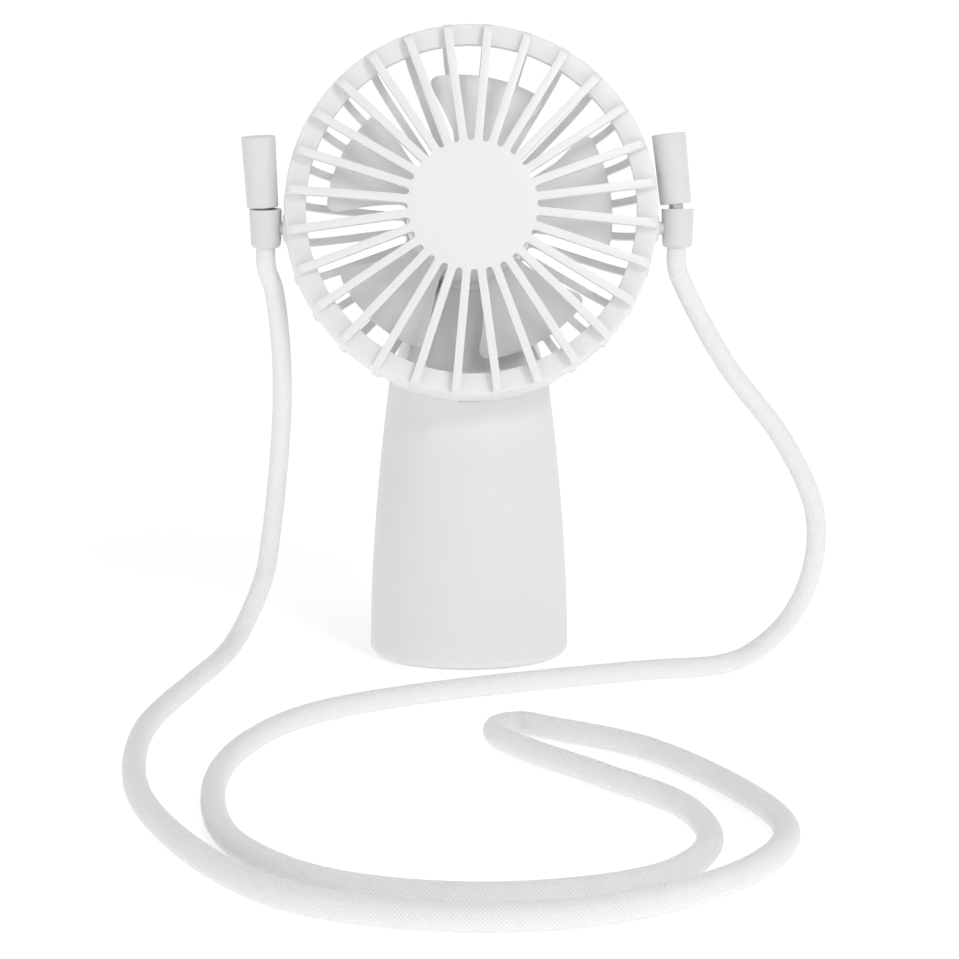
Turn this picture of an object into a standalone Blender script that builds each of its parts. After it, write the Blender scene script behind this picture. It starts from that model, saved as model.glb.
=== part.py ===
"""Lanyard fan: a desk and neck fan with a caged head, a tapered handle and a woven neck cord.

Run with: blender --background --python part.py, or from Blender's text editor.
Units are metres, +Z is up and the fan faces -Y. The origin is the middle of the flat underside.

The head has a frame of its own, whose origin is the middle of the front disc's face. Its +X is
the fan's +X, its +Y points down the face and its +Z points backwards into the head, so a depth
below is a distance behind the disc's face.
"""

import math

import bmesh
import bpy
from mathutils import Matrix, Vector

MM = 0.001

# Clearances
SEAT_GAP = 0.3 * MM          # between pieces that rest on or in each other
RUN_GAP = 0.5 * MM           # between pieces that turn past each other
CAGE_GAP = 0.5 * MM          # between the cage and the saddle that holds it

# Head
HEAD_FORWARD = 32.0 * MM             # from the handle's axis to the disc's face
HEAD_TILT = math.radians(10.5)       # the face looks this much above the horizon
CAGE_RADIUS = 48.6 * MM              # at the front, behind the lip
CAGE_FLARE = 0.6 * MM                # how much wider the ring is where the ribs start
SLOT_COUNT = 28
SLOT_TURN = math.radians(-1.07)      # the moulded pattern sits this much off plumb
TURNED_STEPS = 56

# Front guard
DISC_RADIUS = 16.7 * MM
DISC_THICKNESS = 2.2 * MM
SPOKE_WIDTH = 2.15 * MM
SPOKE_RISE = 1.6 * MM                # how far the spokes fall back between disc and ledge
LEDGE_WIDTH = 5.5 * MM
LEDGE_DEPTH = 5.0 * MM
LEDGE_THICKNESS = 2.0 * MM
LIP_WIDTH = 0.7 * MM
FRONT_RING_DEPTH = 7.5 * MM          # the parting line with the rear guard

# Rear guard
RIB_WIDTH = 1.95 * MM
CAGE_WALL = 2.0 * MM
REAR_RING_END = 13.6 * MM            # the ring's back edge, where the open ribs begin
REAR_PLATE_BACK = 28.6 * MM
REAR_PLATE_THICKNESS = 2.4 * MM
CATCH_WIDTH = 6.0 * MM
CATCH_HEIGHT = 1.6 * MM

# Impeller
BLADE_COUNT = 5
BLADE_TURN = math.radians(-82.3)     # the top blade's middle, from the head's +X
BLADE_TIP_ROOM = 10.6 * MM           # from the blade tips to the cage's outside
BLADE_TIP_SPAN = math.radians(52.0)
BLADE_ROOT_SPAN = math.radians(34.0)
BLADE_TIP_RISE = 7.5 * MM
BLADE_ROOT_RISE = 7.0 * MM
BLADE_MIDDLE = 17.4 * MM
BLADE_CAMBER = 1.6 * MM
BLADE_THICKNESS = 1.3 * MM
BLADE_CORNER = 3.6 * MM
HUB_RADIUS = 17.0 * MM
HUB_WALL = 1.6 * MM
HUB_FRONT = 6.2 * MM
HUB_BACK = 22.6 * MM
HUB_BOSS_RADIUS = 3.0 * MM
HUB_BOSS_BACK = 12.4 * MM

# Motor
SHAFT_RADIUS = 1.0 * MM
MOTOR_RADIUS = 9.8 * MM
MOTOR_CAP_THICKNESS = 2.6 * MM
MOTOR_BUSH_RADIUS = 2.8 * MM
MOTOR_BUSH_LENGTH = 2.6 * MM

# Motor pod
POD_RADIUS = 17.3 * MM
POD_WALL = 2.0 * MM
POD_FLOOR = 2.1 * MM
POD_END = 42.0 * MM
POD_COVER_THICKNESS = 1.6 * MM
POD_COVER_CROWN = 2.4 * MM
GUARD_SCREW_COUNT = 3
LEAD_HOLE_DROP = 8.0 * MM

# Screws
SCREW_RADIUS = 0.9 * MM
SCREW_HEAD_RADIUS = 1.9 * MM
SCREW_HEAD_HEIGHT = 1.2 * MM
SCREW_LENGTH = 7.0 * MM
SCREW_BOSS_RADIUS = 2.4 * MM

# Handle
BASE_RADIUS = 27.4 * MM
BASE_ROUNDING = 2.6 * MM
SHOULDER_RADIUS = 21.9 * MM
FLARE_POWER = 1.8
HANDLE_WALL = 2.0 * MM
HANDLE_STEPS = 44
HANDLE_LIFT = 0.4 * MM               # the shell's lower rim clears the table

# Base
MOUTH_RADIUS = 24.0 * MM             # the opening that the base cap closes
MOUTH_DEPTH = 6.0 * MM
FOOT_RADIUS = 22.0 * MM
FOOT_THICKNESS = 1.2 * MM
BASE_CAP_THICKNESS = 2.4 * MM

# Inside the handle
BATTERY_RADIUS = 9.2 * MM
BATTERY_LENGTH = 65.0 * MM
BATTERY_Y = -2.5 * MM
FRAME_PLATE_THICKNESS = 2.0 * MM
FRAME_PLATE_WIDTH = 21.0 * MM
FRAME_FOOT_THICKNESS = 2.0 * MM
FRAME_FOOT_RADIUS = 19.0 * MM
CLIP_HEIGHT = 7.0 * MM
BOARD_WIDTH = 22.0 * MM
BOARD_THICKNESS = 1.6 * MM
BOARD_BOTTOM = 9.0 * MM
BASE_SCREW_X = 14.5 * MM

# Controls on the back of the handle
BUTTON_RADIUS = 5.5 * MM
BUTTON_DROP = 23.0 * MM              # below the handle's shoulder
BUTTON_TRAVEL = 0.8 * MM
BUTTON_PROUD = 0.7 * MM
BUTTON_FLANGE = 1.2 * MM
LENS_RADIUS = 1.3 * MM
PORT_WIDTH = 9.0 * MM
PORT_THICKNESS = 3.3 * MM
PORT_HEIGHT = 16.0 * MM
SWITCH_SIDE = 6.0 * MM
SWITCH_HEIGHT = 3.4 * MM

# Lead channel, from the handle's cavity to the motor pod
CHANNEL_RADIUS = 2.2 * MM
CHANNEL_LOW_BACK = 7.0 * MM
CHANNEL_HIGH_BACK = 1.6 * MM
LEAD_RADIUS = 1.0 * MM

# Cord fittings
TRUNNION_DEPTH = 12.5 * MM
TRUNNION_DROP = 4.0 * MM             # below the head's level diameter
TRUNNION_RADIUS = 1.7 * MM
TRUNNION_BOSS_RADIUS = 3.4 * MM
TRUNNION_BOSS_DEPTH = 5.0 * MM
LEFT_COLLAR_OFFSET = 4.75 * MM       # from the cage's side to the collar's axis
RIGHT_COLLAR_OFFSET = 5.3 * MM       # pulled out a little in its socket
COLLAR_LENGTH = 10.2 * MM
COLLAR_TOP_RADIUS = 4.25 * MM
COLLAR_MOUTH_RADIUS = 3.95 * MM
BARREL_LENGTH = 18.4 * MM
BARREL_TOP_RADIUS = 4.45 * MM
BARREL_FOOT_RADIUS = 4.1 * MM
STEM_RADIUS = 1.9 * MM
STEM_IN_BARREL = 7.0 * MM
LEFT_PITCH = math.radians(6.0)       # the left fitting's top leans forwards
LEFT_BARREL_LEAN = math.radians(-2.5)
RIGHT_BARREL_LEAN = math.radians(-6.5)
LEFT_BARREL_SHIFT = -0.7 * MM
RIGHT_BARREL_SHIFT = -0.5 * MM
LEFT_BARREL_LIFT = 0.45 * MM
RIGHT_BARREL_LIFT = 1.3 * MM

# Neck cord
CORD_DIAMETER = 5.2 * MM
CORD_INSERTION = 3.5 * MM            # how far each end sits inside its collar
CORD_LIE = 2.8 * MM                  # height of the cord's middle where it lies on the table
CORD_POINTS = 80
CORD_BEND_WEIGHT = 14.0 * MM

# The cord's route in millimetres, from under the left collar to under the right one. Two more
# points at each end follow the collars' axes.
CORD_ROUTE = [
    (-52.1, -17.5, 101.2), (-50.5, -11.5, 74.0), (-54.6, -6.0, 32.0), (-56.7, -8.0, 21.4),
    (-63.4, -14.5, 7.0), (-72.6, -55.0, 2.8), (-78.3, -107.0, 2.8), (-69.6, -169.5, 2.8),
    (-41.5, -224.0, 2.8), (-16.0, -237.8, 2.8), (10.0, -238.2, 2.8), (34.0, -225.5, 2.8),
    (51.0, -204.7, 2.8), (56.1, -182.0, 2.8), (36.6, -123.5, 2.8), (15.8, -102.4, 2.8),
    (9.4, -97.0, 2.8), (4.0, -99.6, 2.8), (2.8, -108.5, 2.8), (8.9, -122.0, 2.8),
    (24.1, -146.0, 2.8), (38.2, -171.0, 2.8), (39.6, -197.8, 2.8), (26.9, -219.0, 2.8),
    (-2.0, -228.3, 2.8), (-30.0, -220.4, 2.8), (-49.2, -196.8, 2.8), (-57.4, -160.0, 2.8),
    (-55.0, -121.0, 2.8), (-41.0, -87.5, 2.8), (-14.2, -65.4, 2.8), (44.0, -39.6, 2.8),
    (64.0, -34.0, 2.8), (76.2, -22.0, 4.1), (86.3, -17.0, 11.8), (91.4, -21.5, 25.5),
    (91.5, -24.5, 42.2), (83.0, -23.4, 61.2), (67.6, -21.8, 81.6), (56.4, -20.4, 101.9),
]

# The neck, as its height's share of the way from the shoulder to the head's middle, and its half
# width, front and back as shares of the shoulder's radius
NECK_STATIONS = [
    (0.103, 0.941, -0.950, 0.954),
    (0.195, 0.877, -0.868, 0.804),
    (0.288, 0.804, -0.799, 0.594),
    (0.370, 0.753, -0.708, 0.420),
    (0.453, 0.717, -0.616, 0.301),
    (0.556, 0.685, -0.502, 0.256),
    (0.679, 0.667, -0.411, 0.247),
]

# The cage's outside behind its ring, as shares of its radius and of the way to its plate's back
CAGE_ELBOW = [(1.020, 0.190), (0.994, 0.440), (0.905, 0.700), (0.680, 0.890)]

# Sizes that follow from the ones above
SHOULDER_HEIGHT = BATTERY_LENGTH + 10.0 * MM
BUTTON_HEIGHT = SHOULDER_HEIGHT - BUTTON_DROP
BOARD_HEIGHT = BATTERY_LENGTH - 7.0 * MM
LENS_HEIGHT = BOARD_BOTTOM + BOARD_HEIGHT - 4.5 * MM
FRAME_PLATE_HEIGHT = BATTERY_LENGTH - 4.0 * MM
HEAD_RISE = CAGE_RADIUS              # from the shoulder to the disc's middle
HEAD_CENTRE = Vector((0.0, -HEAD_FORWARD, SHOULDER_HEIGHT + HEAD_RISE))
LEDGE_INNER_RADIUS = CAGE_RADIUS - LEDGE_WIDTH
SPOKE_BEND_RADIUS = 0.62 * CAGE_RADIUS
BLADE_TIP_RADIUS = CAGE_RADIUS - BLADE_TIP_ROOM
CHANNEL_LOW = Vector((0.0, CHANNEL_LOW_BACK, SHOULDER_HEIGHT - 3.0 * MM))
CHANNEL_HIGH = Vector((0.0, CHANNEL_HIGH_BACK, SHOULDER_HEIGHT + 0.576 * HEAD_RISE))
REAR_PLATE_RADIUS = POD_RADIUS - 0.4 * MM
GUARD_SCREW_CIRCLE = POD_RADIUS - POD_WALL - 2.5 * MM


def material(name, colour, roughness, metallic=0.0):
    """Return a plain Principled material."""
    mat = bpy.data.materials.new(name)
    mat.use_nodes = True
    shader = mat.node_tree.nodes["Principled BSDF"]
    shader.inputs["Base Color"].default_value = (*colour, 1.0)
    shader.inputs["Roughness"].default_value = roughness
    shader.inputs["Metallic"].default_value = metallic
    return mat


def empty(name, matrix, parent=None):
    """Add an empty that stands for a frame or a joint's axis."""
    obj = bpy.data.objects.new(name, None)
    bpy.context.collection.objects.link(obj)
    obj.parent = parent
    obj.matrix_local = matrix
    return obj


def add_piece(name, bm, mat, parent=None, matrix=None):
    """Turn a bmesh into a named object with one material."""
    bmesh.ops.remove_doubles(bm, verts=bm.verts, dist=0.001 * MM)
    bmesh.ops.recalc_face_normals(bm, faces=bm.faces)
    mesh = bpy.data.meshes.new(name)
    bm.to_mesh(mesh)
    bm.free()
    mesh.shade_smooth()
    mesh.set_sharp_from_angle(angle=math.radians(35))
    if mat is not None:
        mesh.materials.append(mat)
    obj = bpy.data.objects.new(name, mesh)
    bpy.context.collection.objects.link(obj)
    obj.parent = parent
    if matrix is not None:
        obj.matrix_local = matrix
    return obj


def add_tool(name, bm, parent=None, matrix=None):
    """Add a shape that only cuts or joins other pieces."""
    obj = add_piece(name, bm, None, parent, matrix)
    obj.hide_render = True
    obj.display_type = "WIRE"
    return obj


def combine(piece, tool, operation):
    """Add a live Boolean to a piece."""
    mod = piece.modifiers.new(tool.name, "BOOLEAN")
    mod.operation = operation
    mod.solver = "EXACT"
    mod.object = tool


def turned(profile, steps, closed=False):
    """Spin a profile of (radius, height) points about the local Z axis.

    An open profile starts and ends on the axis; a closed one stays clear of it.
    """
    bm = bmesh.new()
    verts = [bm.verts.new((radius, 0.0, height)) for radius, height in profile]
    edges = [bm.edges.new(pair) for pair in zip(verts, verts[1:])]
    if closed:
        edges.append(bm.edges.new((verts[-1], verts[0])))
    bmesh.ops.spin(
        bm, geom=verts + edges, cent=(0, 0, 0), axis=(0, 0, 1),
        angle=math.tau, steps=steps, use_merge=True,
    )
    bmesh.ops.remove_doubles(bm, verts=bm.verts, dist=0.001 * MM)
    bmesh.ops.recalc_face_normals(bm, faces=bm.faces)
    return bm


def rod(radius, low, high, steps=24):
    """Return a cylinder along the local Z axis."""
    return turned([(0, low), (radius, low), (radius, high), (0, high)], steps)


def tube(inner, outer, low, high, steps=32):
    """Return a plain ring along the local Z axis."""
    return turned([(inner, low), (outer, low), (outer, high), (inner, high)], steps, closed=True)


def block(low, high):
    """Return a box between two corners."""
    bm = bmesh.new()
    size = Vector(high) - Vector(low)
    middle = (Vector(high) + Vector(low)) / 2
    bmesh.ops.create_cube(bm, size=1.0, matrix=Matrix.Translation(middle) @ Matrix.Diagonal((*size, 1.0)))
    return bm


def merge(target, other, matrix=None):
    """Copy one bmesh into another, and free the first."""
    mesh = bpy.data.meshes.new("merge")
    if matrix is not None:
        other.transform(matrix)
    other.to_mesh(mesh)
    other.free()
    target.from_mesh(mesh)
    bpy.data.meshes.remove(mesh)


def extruded(outline, low, high):
    """Extrude a flat outline of (x, y) points from one height to another."""
    bm = bmesh.new()
    face = bm.faces.new([bm.verts.new((x, y, low)) for x, y in outline])
    grown = bmesh.ops.extrude_face_region(bm, geom=[face])
    moved = [item for item in grown["geom"] if isinstance(item, bmesh.types.BMVert)]
    bmesh.ops.translate(bm, verts=moved, vec=(0, 0, high - low))
    bmesh.ops.recalc_face_normals(bm, faces=bm.faces)
    return bm


def offset_path(points, distance):
    """Move an open path of (radius, depth) points sideways, inwards for a positive distance."""
    moved = []
    for index, point in enumerate(points):
        before = Vector(points[max(index - 1, 0)])
        after = Vector(points[min(index + 1, len(points) - 1)])
        along = (after - before).normalized()
        moved.append((point[0] - along.y * distance, point[1] + along.x * distance))
    return moved


def smooth_curve(points, count, bend_weight=0.0):
    """Read points from a centripetal Catmull-Rom curve through the given points.

    The points are evenly spaced, and the bend weight, a length for each radian that the curve
    turns, sets them closer in its bends. The second value returned is the curve's length.
    """
    ends = [points[0] * 2 - points[1], *points, points[-1] * 2 - points[-2]]
    dense = []
    for p0, p1, p2, p3 in zip(ends, ends[1:], ends[2:], ends[3:]):
        t1 = (p1 - p0).length ** 0.5
        t2 = t1 + (p2 - p1).length ** 0.5
        t3 = t2 + (p3 - p2).length ** 0.5
        for step in range(40):
            t = t1 + (t2 - t1) * step / 40
            a1 = p0 * ((t1 - t) / t1) + p1 * (t / t1)
            a2 = p1 * ((t2 - t) / (t2 - t1)) + p2 * ((t - t1) / (t2 - t1))
            a3 = p2 * ((t3 - t) / (t3 - t2)) + p3 * ((t - t2) / (t3 - t2))
            b1 = a1 * ((t2 - t) / t2) + a2 * (t / t2)
            b2 = a2 * ((t3 - t) / (t3 - t1)) + a3 * ((t - t1) / (t3 - t1))
            dense.append(b1 * ((t2 - t) / (t2 - t1)) + b2 * ((t - t1) / (t2 - t1)))
    dense.append(points[-1].copy())
    dense = [one for one, two in zip(dense, dense[1:]) if (two - one).length > 1e-7] + dense[-1:]
    steps = [two - one for one, two in zip(dense, dense[1:])]
    total = sum(step.length for step in steps)
    lengths = [0.0]
    for before, step in zip(steps[:1] + steps, steps):
        lengths.append(lengths[-1] + step.length + bend_weight * before.angle(step))
    picked = []
    index = 0
    for number in range(count):
        wanted = lengths[-1] * number / (count - 1)
        while index < len(dense) - 2 and lengths[index + 1] < wanted:
            index += 1
        span = lengths[index + 1] - lengths[index]
        picked.append(dense[index].lerp(dense[index + 1], min((wanted - lengths[index]) / span, 1.0)))
    return picked, total


def add_cord(name, points, radius, mat, parent=None):
    """Add a round cord as a bevelled curve with filled ends."""
    curve = bpy.data.curves.new(name, "CURVE")
    curve.dimensions = "3D"
    curve.bevel_depth = radius
    curve.bevel_resolution = 2
    curve.use_fill_caps = True
    spline = curve.splines.new("POLY")
    spline.points.add(len(points) - 1)
    for slot, point in zip(spline.points, points):
        slot.co = (*point, 1.0)
    curve.materials.append(mat)
    obj = bpy.data.objects.new(name, curve)
    bpy.context.collection.objects.link(obj)
    obj.parent = parent
    return obj


# Shapes of the head

def slot_outline(middle, inner, outer, bar_width, arc_steps=1):
    """Return one grille slot between two bars of even width, with a round inner end."""
    half = math.pi / SLOT_COUNT

    def side(radius):
        return half - math.asin(bar_width / 2 / radius)

    end_radius = inner * math.sin(side(inner))
    for _ in range(8):
        end_radius = (inner + end_radius) * math.sin(side(inner + end_radius))
    points = []
    for step in range(3):
        turn = math.radians(90 + 90 * step)
        along = inner + end_radius + end_radius * math.cos(turn)
        across = end_radius * math.sin(turn)
        points.append((
            along * math.cos(middle) - across * math.sin(middle),
            along * math.sin(middle) + across * math.cos(middle),
        ))
    reach = side(outer)
    for step in range(arc_steps + 1):
        angle = middle - reach + 2 * reach * step / arc_steps
        points.append((outer * math.cos(angle), outer * math.sin(angle)))
    return points


def slot_ring(inner, outer, bar_width, low, high):
    """Return all the slots of a grille as separate bodies in one bmesh."""
    bm = bmesh.new()
    for number in range(SLOT_COUNT):
        middle = SLOT_TURN - math.pi / 2 + math.tau * number / SLOT_COUNT
        merge(bm, extruded(slot_outline(middle, inner, outer, bar_width), low, high))
    return bm


def cage_radius(depth):
    """Return the cage wall's outer radius at a depth behind the disc's face."""
    return CAGE_RADIUS + CAGE_FLARE * (depth - LEDGE_DEPTH) / (REAR_RING_END - LEDGE_DEPTH)


def cage_outside():
    """Return the rear guard's outer line, from its front edge to its middle plate."""
    line = [(cage_radius(depth), depth) for depth in (FRONT_RING_DEPTH + SEAT_GAP, REAR_RING_END)]
    run = REAR_PLATE_BACK - REAR_RING_END
    line += [(radius * CAGE_RADIUS, REAR_RING_END + share * run) for radius, share in CAGE_ELBOW]
    line.append((REAR_PLATE_RADIUS, REAR_PLATE_BACK))
    return line


def build_front_guard(head, plastic):
    """Front guard: disc, spokes, ledge and ring in one moulding, cut from a turned plate."""
    spoke_back = SPOKE_RISE + DISC_THICKNESS
    ledge_back = LEDGE_DEPTH + LEDGE_THICKNESS
    lip = CAGE_RADIUS - LIP_WIDTH
    profile = [
        (0, 0), (DISC_RADIUS, 0), (SPOKE_BEND_RADIUS, 0.4 * SPOKE_RISE), (LEDGE_INNER_RADIUS, SPOKE_RISE),
        (lip - 1.4 * MM, SPOKE_RISE + 1.0 * MM), (lip, SPOKE_RISE + 2.2 * MM), (CAGE_RADIUS, LEDGE_DEPTH),
        (cage_radius(FRONT_RING_DEPTH), FRONT_RING_DEPTH),
        (cage_radius(FRONT_RING_DEPTH) - CAGE_WALL, FRONT_RING_DEPTH),
        (CAGE_RADIUS - CAGE_WALL - 0.4 * MM, ledge_back), (LEDGE_INNER_RADIUS, ledge_back),
        (LEDGE_INNER_RADIUS, spoke_back), (SPOKE_BEND_RADIUS, DISC_THICKNESS + 0.4 * SPOKE_RISE),
        (DISC_RADIUS, DISC_THICKNESS), (0, DISC_THICKNESS),
    ]
    guard = add_piece("front_guard", turned(profile, TURNED_STEPS), plastic, head)
    slots = slot_ring(DISC_RADIUS, lip, SPOKE_WIDTH, -2 * MM, LEDGE_DEPTH)
    combine(guard, add_tool("front_slots", slots, head), "DIFFERENCE")
    return guard


def build_rear_guard(head, plastic):
    """Rear guard: ring, curved ribs, middle plate, screw bosses and the cord fittings' sockets."""
    outside = cage_outside()
    inside = offset_path(outside[1:], CAGE_WALL)
    plate_front = REAR_PLATE_BACK - REAR_PLATE_THICKNESS
    profile = [(0, plate_front), (REAR_PLATE_RADIUS - 0.6 * MM, plate_front), *inside[-2::-1]]
    profile.append((cage_radius(FRONT_RING_DEPTH) - CAGE_WALL, FRONT_RING_DEPTH + SEAT_GAP))
    profile += [*outside, (0, REAR_PLATE_BACK)]
    guard = add_piece("rear_guard", turned(profile, TURNED_STEPS), plastic, head)

    slots = slot_ring(REAR_PLATE_RADIUS + 0.4 * MM, CAGE_RADIUS + 4 * MM, RIB_WIDTH,
                      REAR_RING_END + SEAT_GAP, REAR_PLATE_BACK + 10 * MM)
    combine(guard, add_tool("rear_slots", slots, head), "DIFFERENCE")

    additions = bmesh.new()
    for place in guard_screw_places():
        boss = rod(SCREW_BOSS_RADIUS, plate_front - 3.0 * MM, plate_front + 0.5 * MM, 16)
        merge(additions, boss, Matrix.Translation(place))
    for side in (-1, 1):
        merge(additions, rod(TRUNNION_BOSS_RADIUS, 0, TRUNNION_BOSS_DEPTH), socket_matrix(side))
    catch_radius = cage_radius(REAR_RING_END) - CAGE_WALL
    catch = block(
        (-CATCH_WIDTH / 2, -catch_radius - 0.6 * MM, FRONT_RING_DEPTH + 2.5 * MM),
        (CATCH_WIDTH / 2, -catch_radius + CATCH_HEIGHT, REAR_RING_END),
    )
    merge(additions, catch, Matrix.Rotation(SLOT_TURN, 4, "Z"))
    combine(guard, add_tool("rear_guard_bosses", additions, head), "UNION")

    holes = bmesh.new()
    for place in guard_screw_places():
        hole = rod(SCREW_RADIUS + SEAT_GAP, plate_front - 5 * MM, REAR_PLATE_BACK + 5 * MM, 12)
        merge(holes, hole, Matrix.Translation(place))
    for side in (-1, 1):
        socket = rod(TRUNNION_RADIUS + SEAT_GAP, -1 * MM, TRUNNION_BOSS_DEPTH - 0.8 * MM)
        merge(holes, socket, socket_matrix(side))
    lead_hole = rod(CHANNEL_RADIUS, plate_front - 1 * MM, REAR_PLATE_BACK + 1 * MM, 16)
    merge(holes, lead_hole, Matrix.Translation((0, LEAD_HOLE_DROP, 0)))
    combine(guard, add_tool("rear_guard_holes", holes, head), "DIFFERENCE")
    return guard


def guard_screw_places():
    """Return where the rear guard's screws stand around the middle plate."""
    places = []
    for number in range(GUARD_SCREW_COUNT):
        angle = math.radians(30) + math.tau * number / GUARD_SCREW_COUNT
        places.append(Vector((math.cos(angle), math.sin(angle), 0)) * GUARD_SCREW_CIRCLE)
    return places


def socket_matrix(side):
    """Return the frame of a trunnion socket: its mouth at the cage's side, +Z inwards."""
    mouth = Vector((side * (cage_radius(TRUNNION_DEPTH) + 0.2 * MM), TRUNNION_DROP, TRUNNION_DEPTH))
    return Matrix.Translation(mouth) @ Matrix.Rotation(math.radians(-90 * side), 4, "Y")


def blade_shape(middle):
    """Return one twisted, cambered impeller blade with rounded tip corners."""
    rows, columns = 3, 6
    root = HUB_RADIUS - 0.5 * HUB_WALL
    bm = bmesh.new()
    bmesh.ops.create_grid(bm, x_segments=columns, y_segments=rows, size=0.5)
    for vert in bm.verts:
        outward = vert.co.y + 0.5
        across = (1 - math.cos(math.pi * (vert.co.x + 0.5))) / 2
        to_end = min(across, 1 - across) * BLADE_TIP_SPAN * BLADE_TIP_RADIUS
        short = max(BLADE_CORNER - to_end, 0.0)
        tip = BLADE_TIP_RADIUS - BLADE_CORNER + math.sqrt(BLADE_CORNER ** 2 - short ** 2)
        radius = root + (tip - root) * outward
        share = (radius - HUB_RADIUS) / (BLADE_TIP_RADIUS - HUB_RADIUS)
        span = BLADE_ROOT_SPAN + (BLADE_TIP_SPAN - BLADE_ROOT_SPAN) * share
        rise = BLADE_ROOT_RISE + (BLADE_TIP_RISE - BLADE_ROOT_RISE) * share
        camber = BLADE_CAMBER * (1 - (2 * across - 1) ** 2) * (0.4 + 0.6 * share)
        angle = middle + span * (across - 0.5)
        depth = BLADE_MIDDLE + rise * (across - 0.5) + camber - 0.5 * BLADE_CAMBER
        vert.co = (radius * math.cos(angle), radius * math.sin(angle), depth)
    bm.normal_update()
    grown = bmesh.ops.extrude_face_region(bm, geom=bm.faces[:], use_keep_orig=True)
    for vert in (item for item in grown["geom"] if isinstance(item, bmesh.types.BMVert)):
        vert.co.z += BLADE_THICKNESS
    bmesh.ops.recalc_face_normals(bm, faces=bm.faces)
    return bm


def build_impeller(axis, plastic, steel):
    """Impeller: a cup-shaped hub with its shaft boss and five blades, and the steel shaft."""
    inner = HUB_RADIUS - HUB_WALL
    inside_front = HUB_FRONT + HUB_WALL
    bore = SHAFT_RADIUS + SEAT_GAP
    profile = [
        (0, HUB_FRONT), (HUB_RADIUS - 1.6 * MM, HUB_FRONT),
        (HUB_RADIUS - 0.5 * MM, HUB_FRONT + 0.5 * MM), (HUB_RADIUS, HUB_FRONT + 1.6 * MM),
        (HUB_RADIUS, HUB_BACK), (inner, HUB_BACK),
        (inner, inside_front), (HUB_BOSS_RADIUS, inside_front), (HUB_BOSS_RADIUS, HUB_BOSS_BACK),
        (bore, HUB_BOSS_BACK), (bore, inside_front), (0, inside_front),
    ]
    impeller = add_piece("impeller", turned(profile, 32), plastic, axis)
    blades = bmesh.new()
    for number in range(BLADE_COUNT):
        merge(blades, blade_shape(BLADE_TURN + math.tau * number / BLADE_COUNT))
    combine(impeller, add_tool("blades", blades, axis), "UNION")
    shaft_front = inside_front + SEAT_GAP
    shaft_back = HUB_BOSS_BACK + RUN_GAP + MOTOR_BUSH_LENGTH + 7.0 * MM
    shaft = rod(SHAFT_RADIUS, shaft_front, shaft_back, 16)
    add_piece("motor_shaft", shaft, steel, axis)
    return shaft_back


def build_motor(head, steel, dark, brass, shaft_back):
    """Motor: a steel can with its front bush, and the end cap that its leads reach."""
    front = HUB_BOSS_BACK + RUN_GAP
    cap_back = REAR_PLATE_BACK - REAR_PLATE_THICKNESS - SEAT_GAP
    cap_front = cap_back - MOTOR_CAP_THICKNESS
    can_back = cap_front - SEAT_GAP
    bore = SHAFT_RADIUS + SEAT_GAP
    seat = MOTOR_BUSH_RADIUS + SEAT_GAP
    seat_end = front + MOTOR_BUSH_LENGTH + SEAT_GAP
    nose = seat + 1.0 * MM
    shoulder = front + 1.6 * MM
    can = [
        (0, can_back), (MOTOR_RADIUS, can_back), (MOTOR_RADIUS, shoulder + 0.8 * MM),
        (MOTOR_RADIUS - 0.8 * MM, shoulder), (nose, shoulder), (nose, front), (seat, front),
        (seat, seat_end), (bore, seat_end), (bore, shaft_back + SEAT_GAP), (0, shaft_back + SEAT_GAP),
    ]
    add_piece("motor_can", turned(can, 24), steel, head)
    bush = tube(bore, MOTOR_BUSH_RADIUS, front, front + MOTOR_BUSH_LENGTH, 24)
    add_piece("motor_bush", bush, brass, head)
    cap = [
        (0, cap_front), (MOTOR_RADIUS, cap_front), (MOTOR_RADIUS, cap_back - 0.5 * MM),
        (MOTOR_RADIUS - 0.5 * MM, cap_back), (0, cap_back),
    ]
    add_piece("motor_end_cap", turned(cap, 24), dark, head)


def screw_shape():
    """Return a pan head screw that points along +Z, its head's underside at zero."""
    return turned([
        (0, -SCREW_HEAD_HEIGHT), (SCREW_HEAD_RADIUS - 0.4 * MM, -SCREW_HEAD_HEIGHT),
        (SCREW_HEAD_RADIUS, -SCREW_HEAD_HEIGHT + 0.4 * MM), (SCREW_HEAD_RADIUS, 0),
        (SCREW_RADIUS, 0), (SCREW_RADIUS, SCREW_LENGTH - 0.6 * MM), (0, SCREW_LENGTH),
    ], 12)


def handle_radius(height):
    """Return the handle's outer radius at a height below its shoulder."""
    share = height / SHOULDER_HEIGHT
    return BASE_RADIUS - (BASE_RADIUS - SHOULDER_RADIUS) * share ** FLARE_POWER


def handle_sections():
    """Return the handle's outside as (height, half width, front, back) from foot to neck."""
    sections = []
    for step in range(4):
        turn = math.radians(30 * step)
        height = HANDLE_LIFT + BASE_ROUNDING * (1 - math.cos(turn))
        radius = handle_radius(height) - BASE_ROUNDING * (1 - math.sin(turn))
        sections.append((height, radius, -radius, radius))
    low = HANDLE_LIFT + BASE_ROUNDING
    for step in range(1, 7):
        height = low + (SHOULDER_HEIGHT - low) * step / 6
        radius = handle_radius(height)
        sections.append((height, radius, -radius, radius))
    for share, *sizes in NECK_STATIONS:
        height = SHOULDER_HEIGHT + share * HEAD_RISE
        sections.append((height, *(size * SHOULDER_RADIUS for size in sizes)))
    return sections


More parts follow.
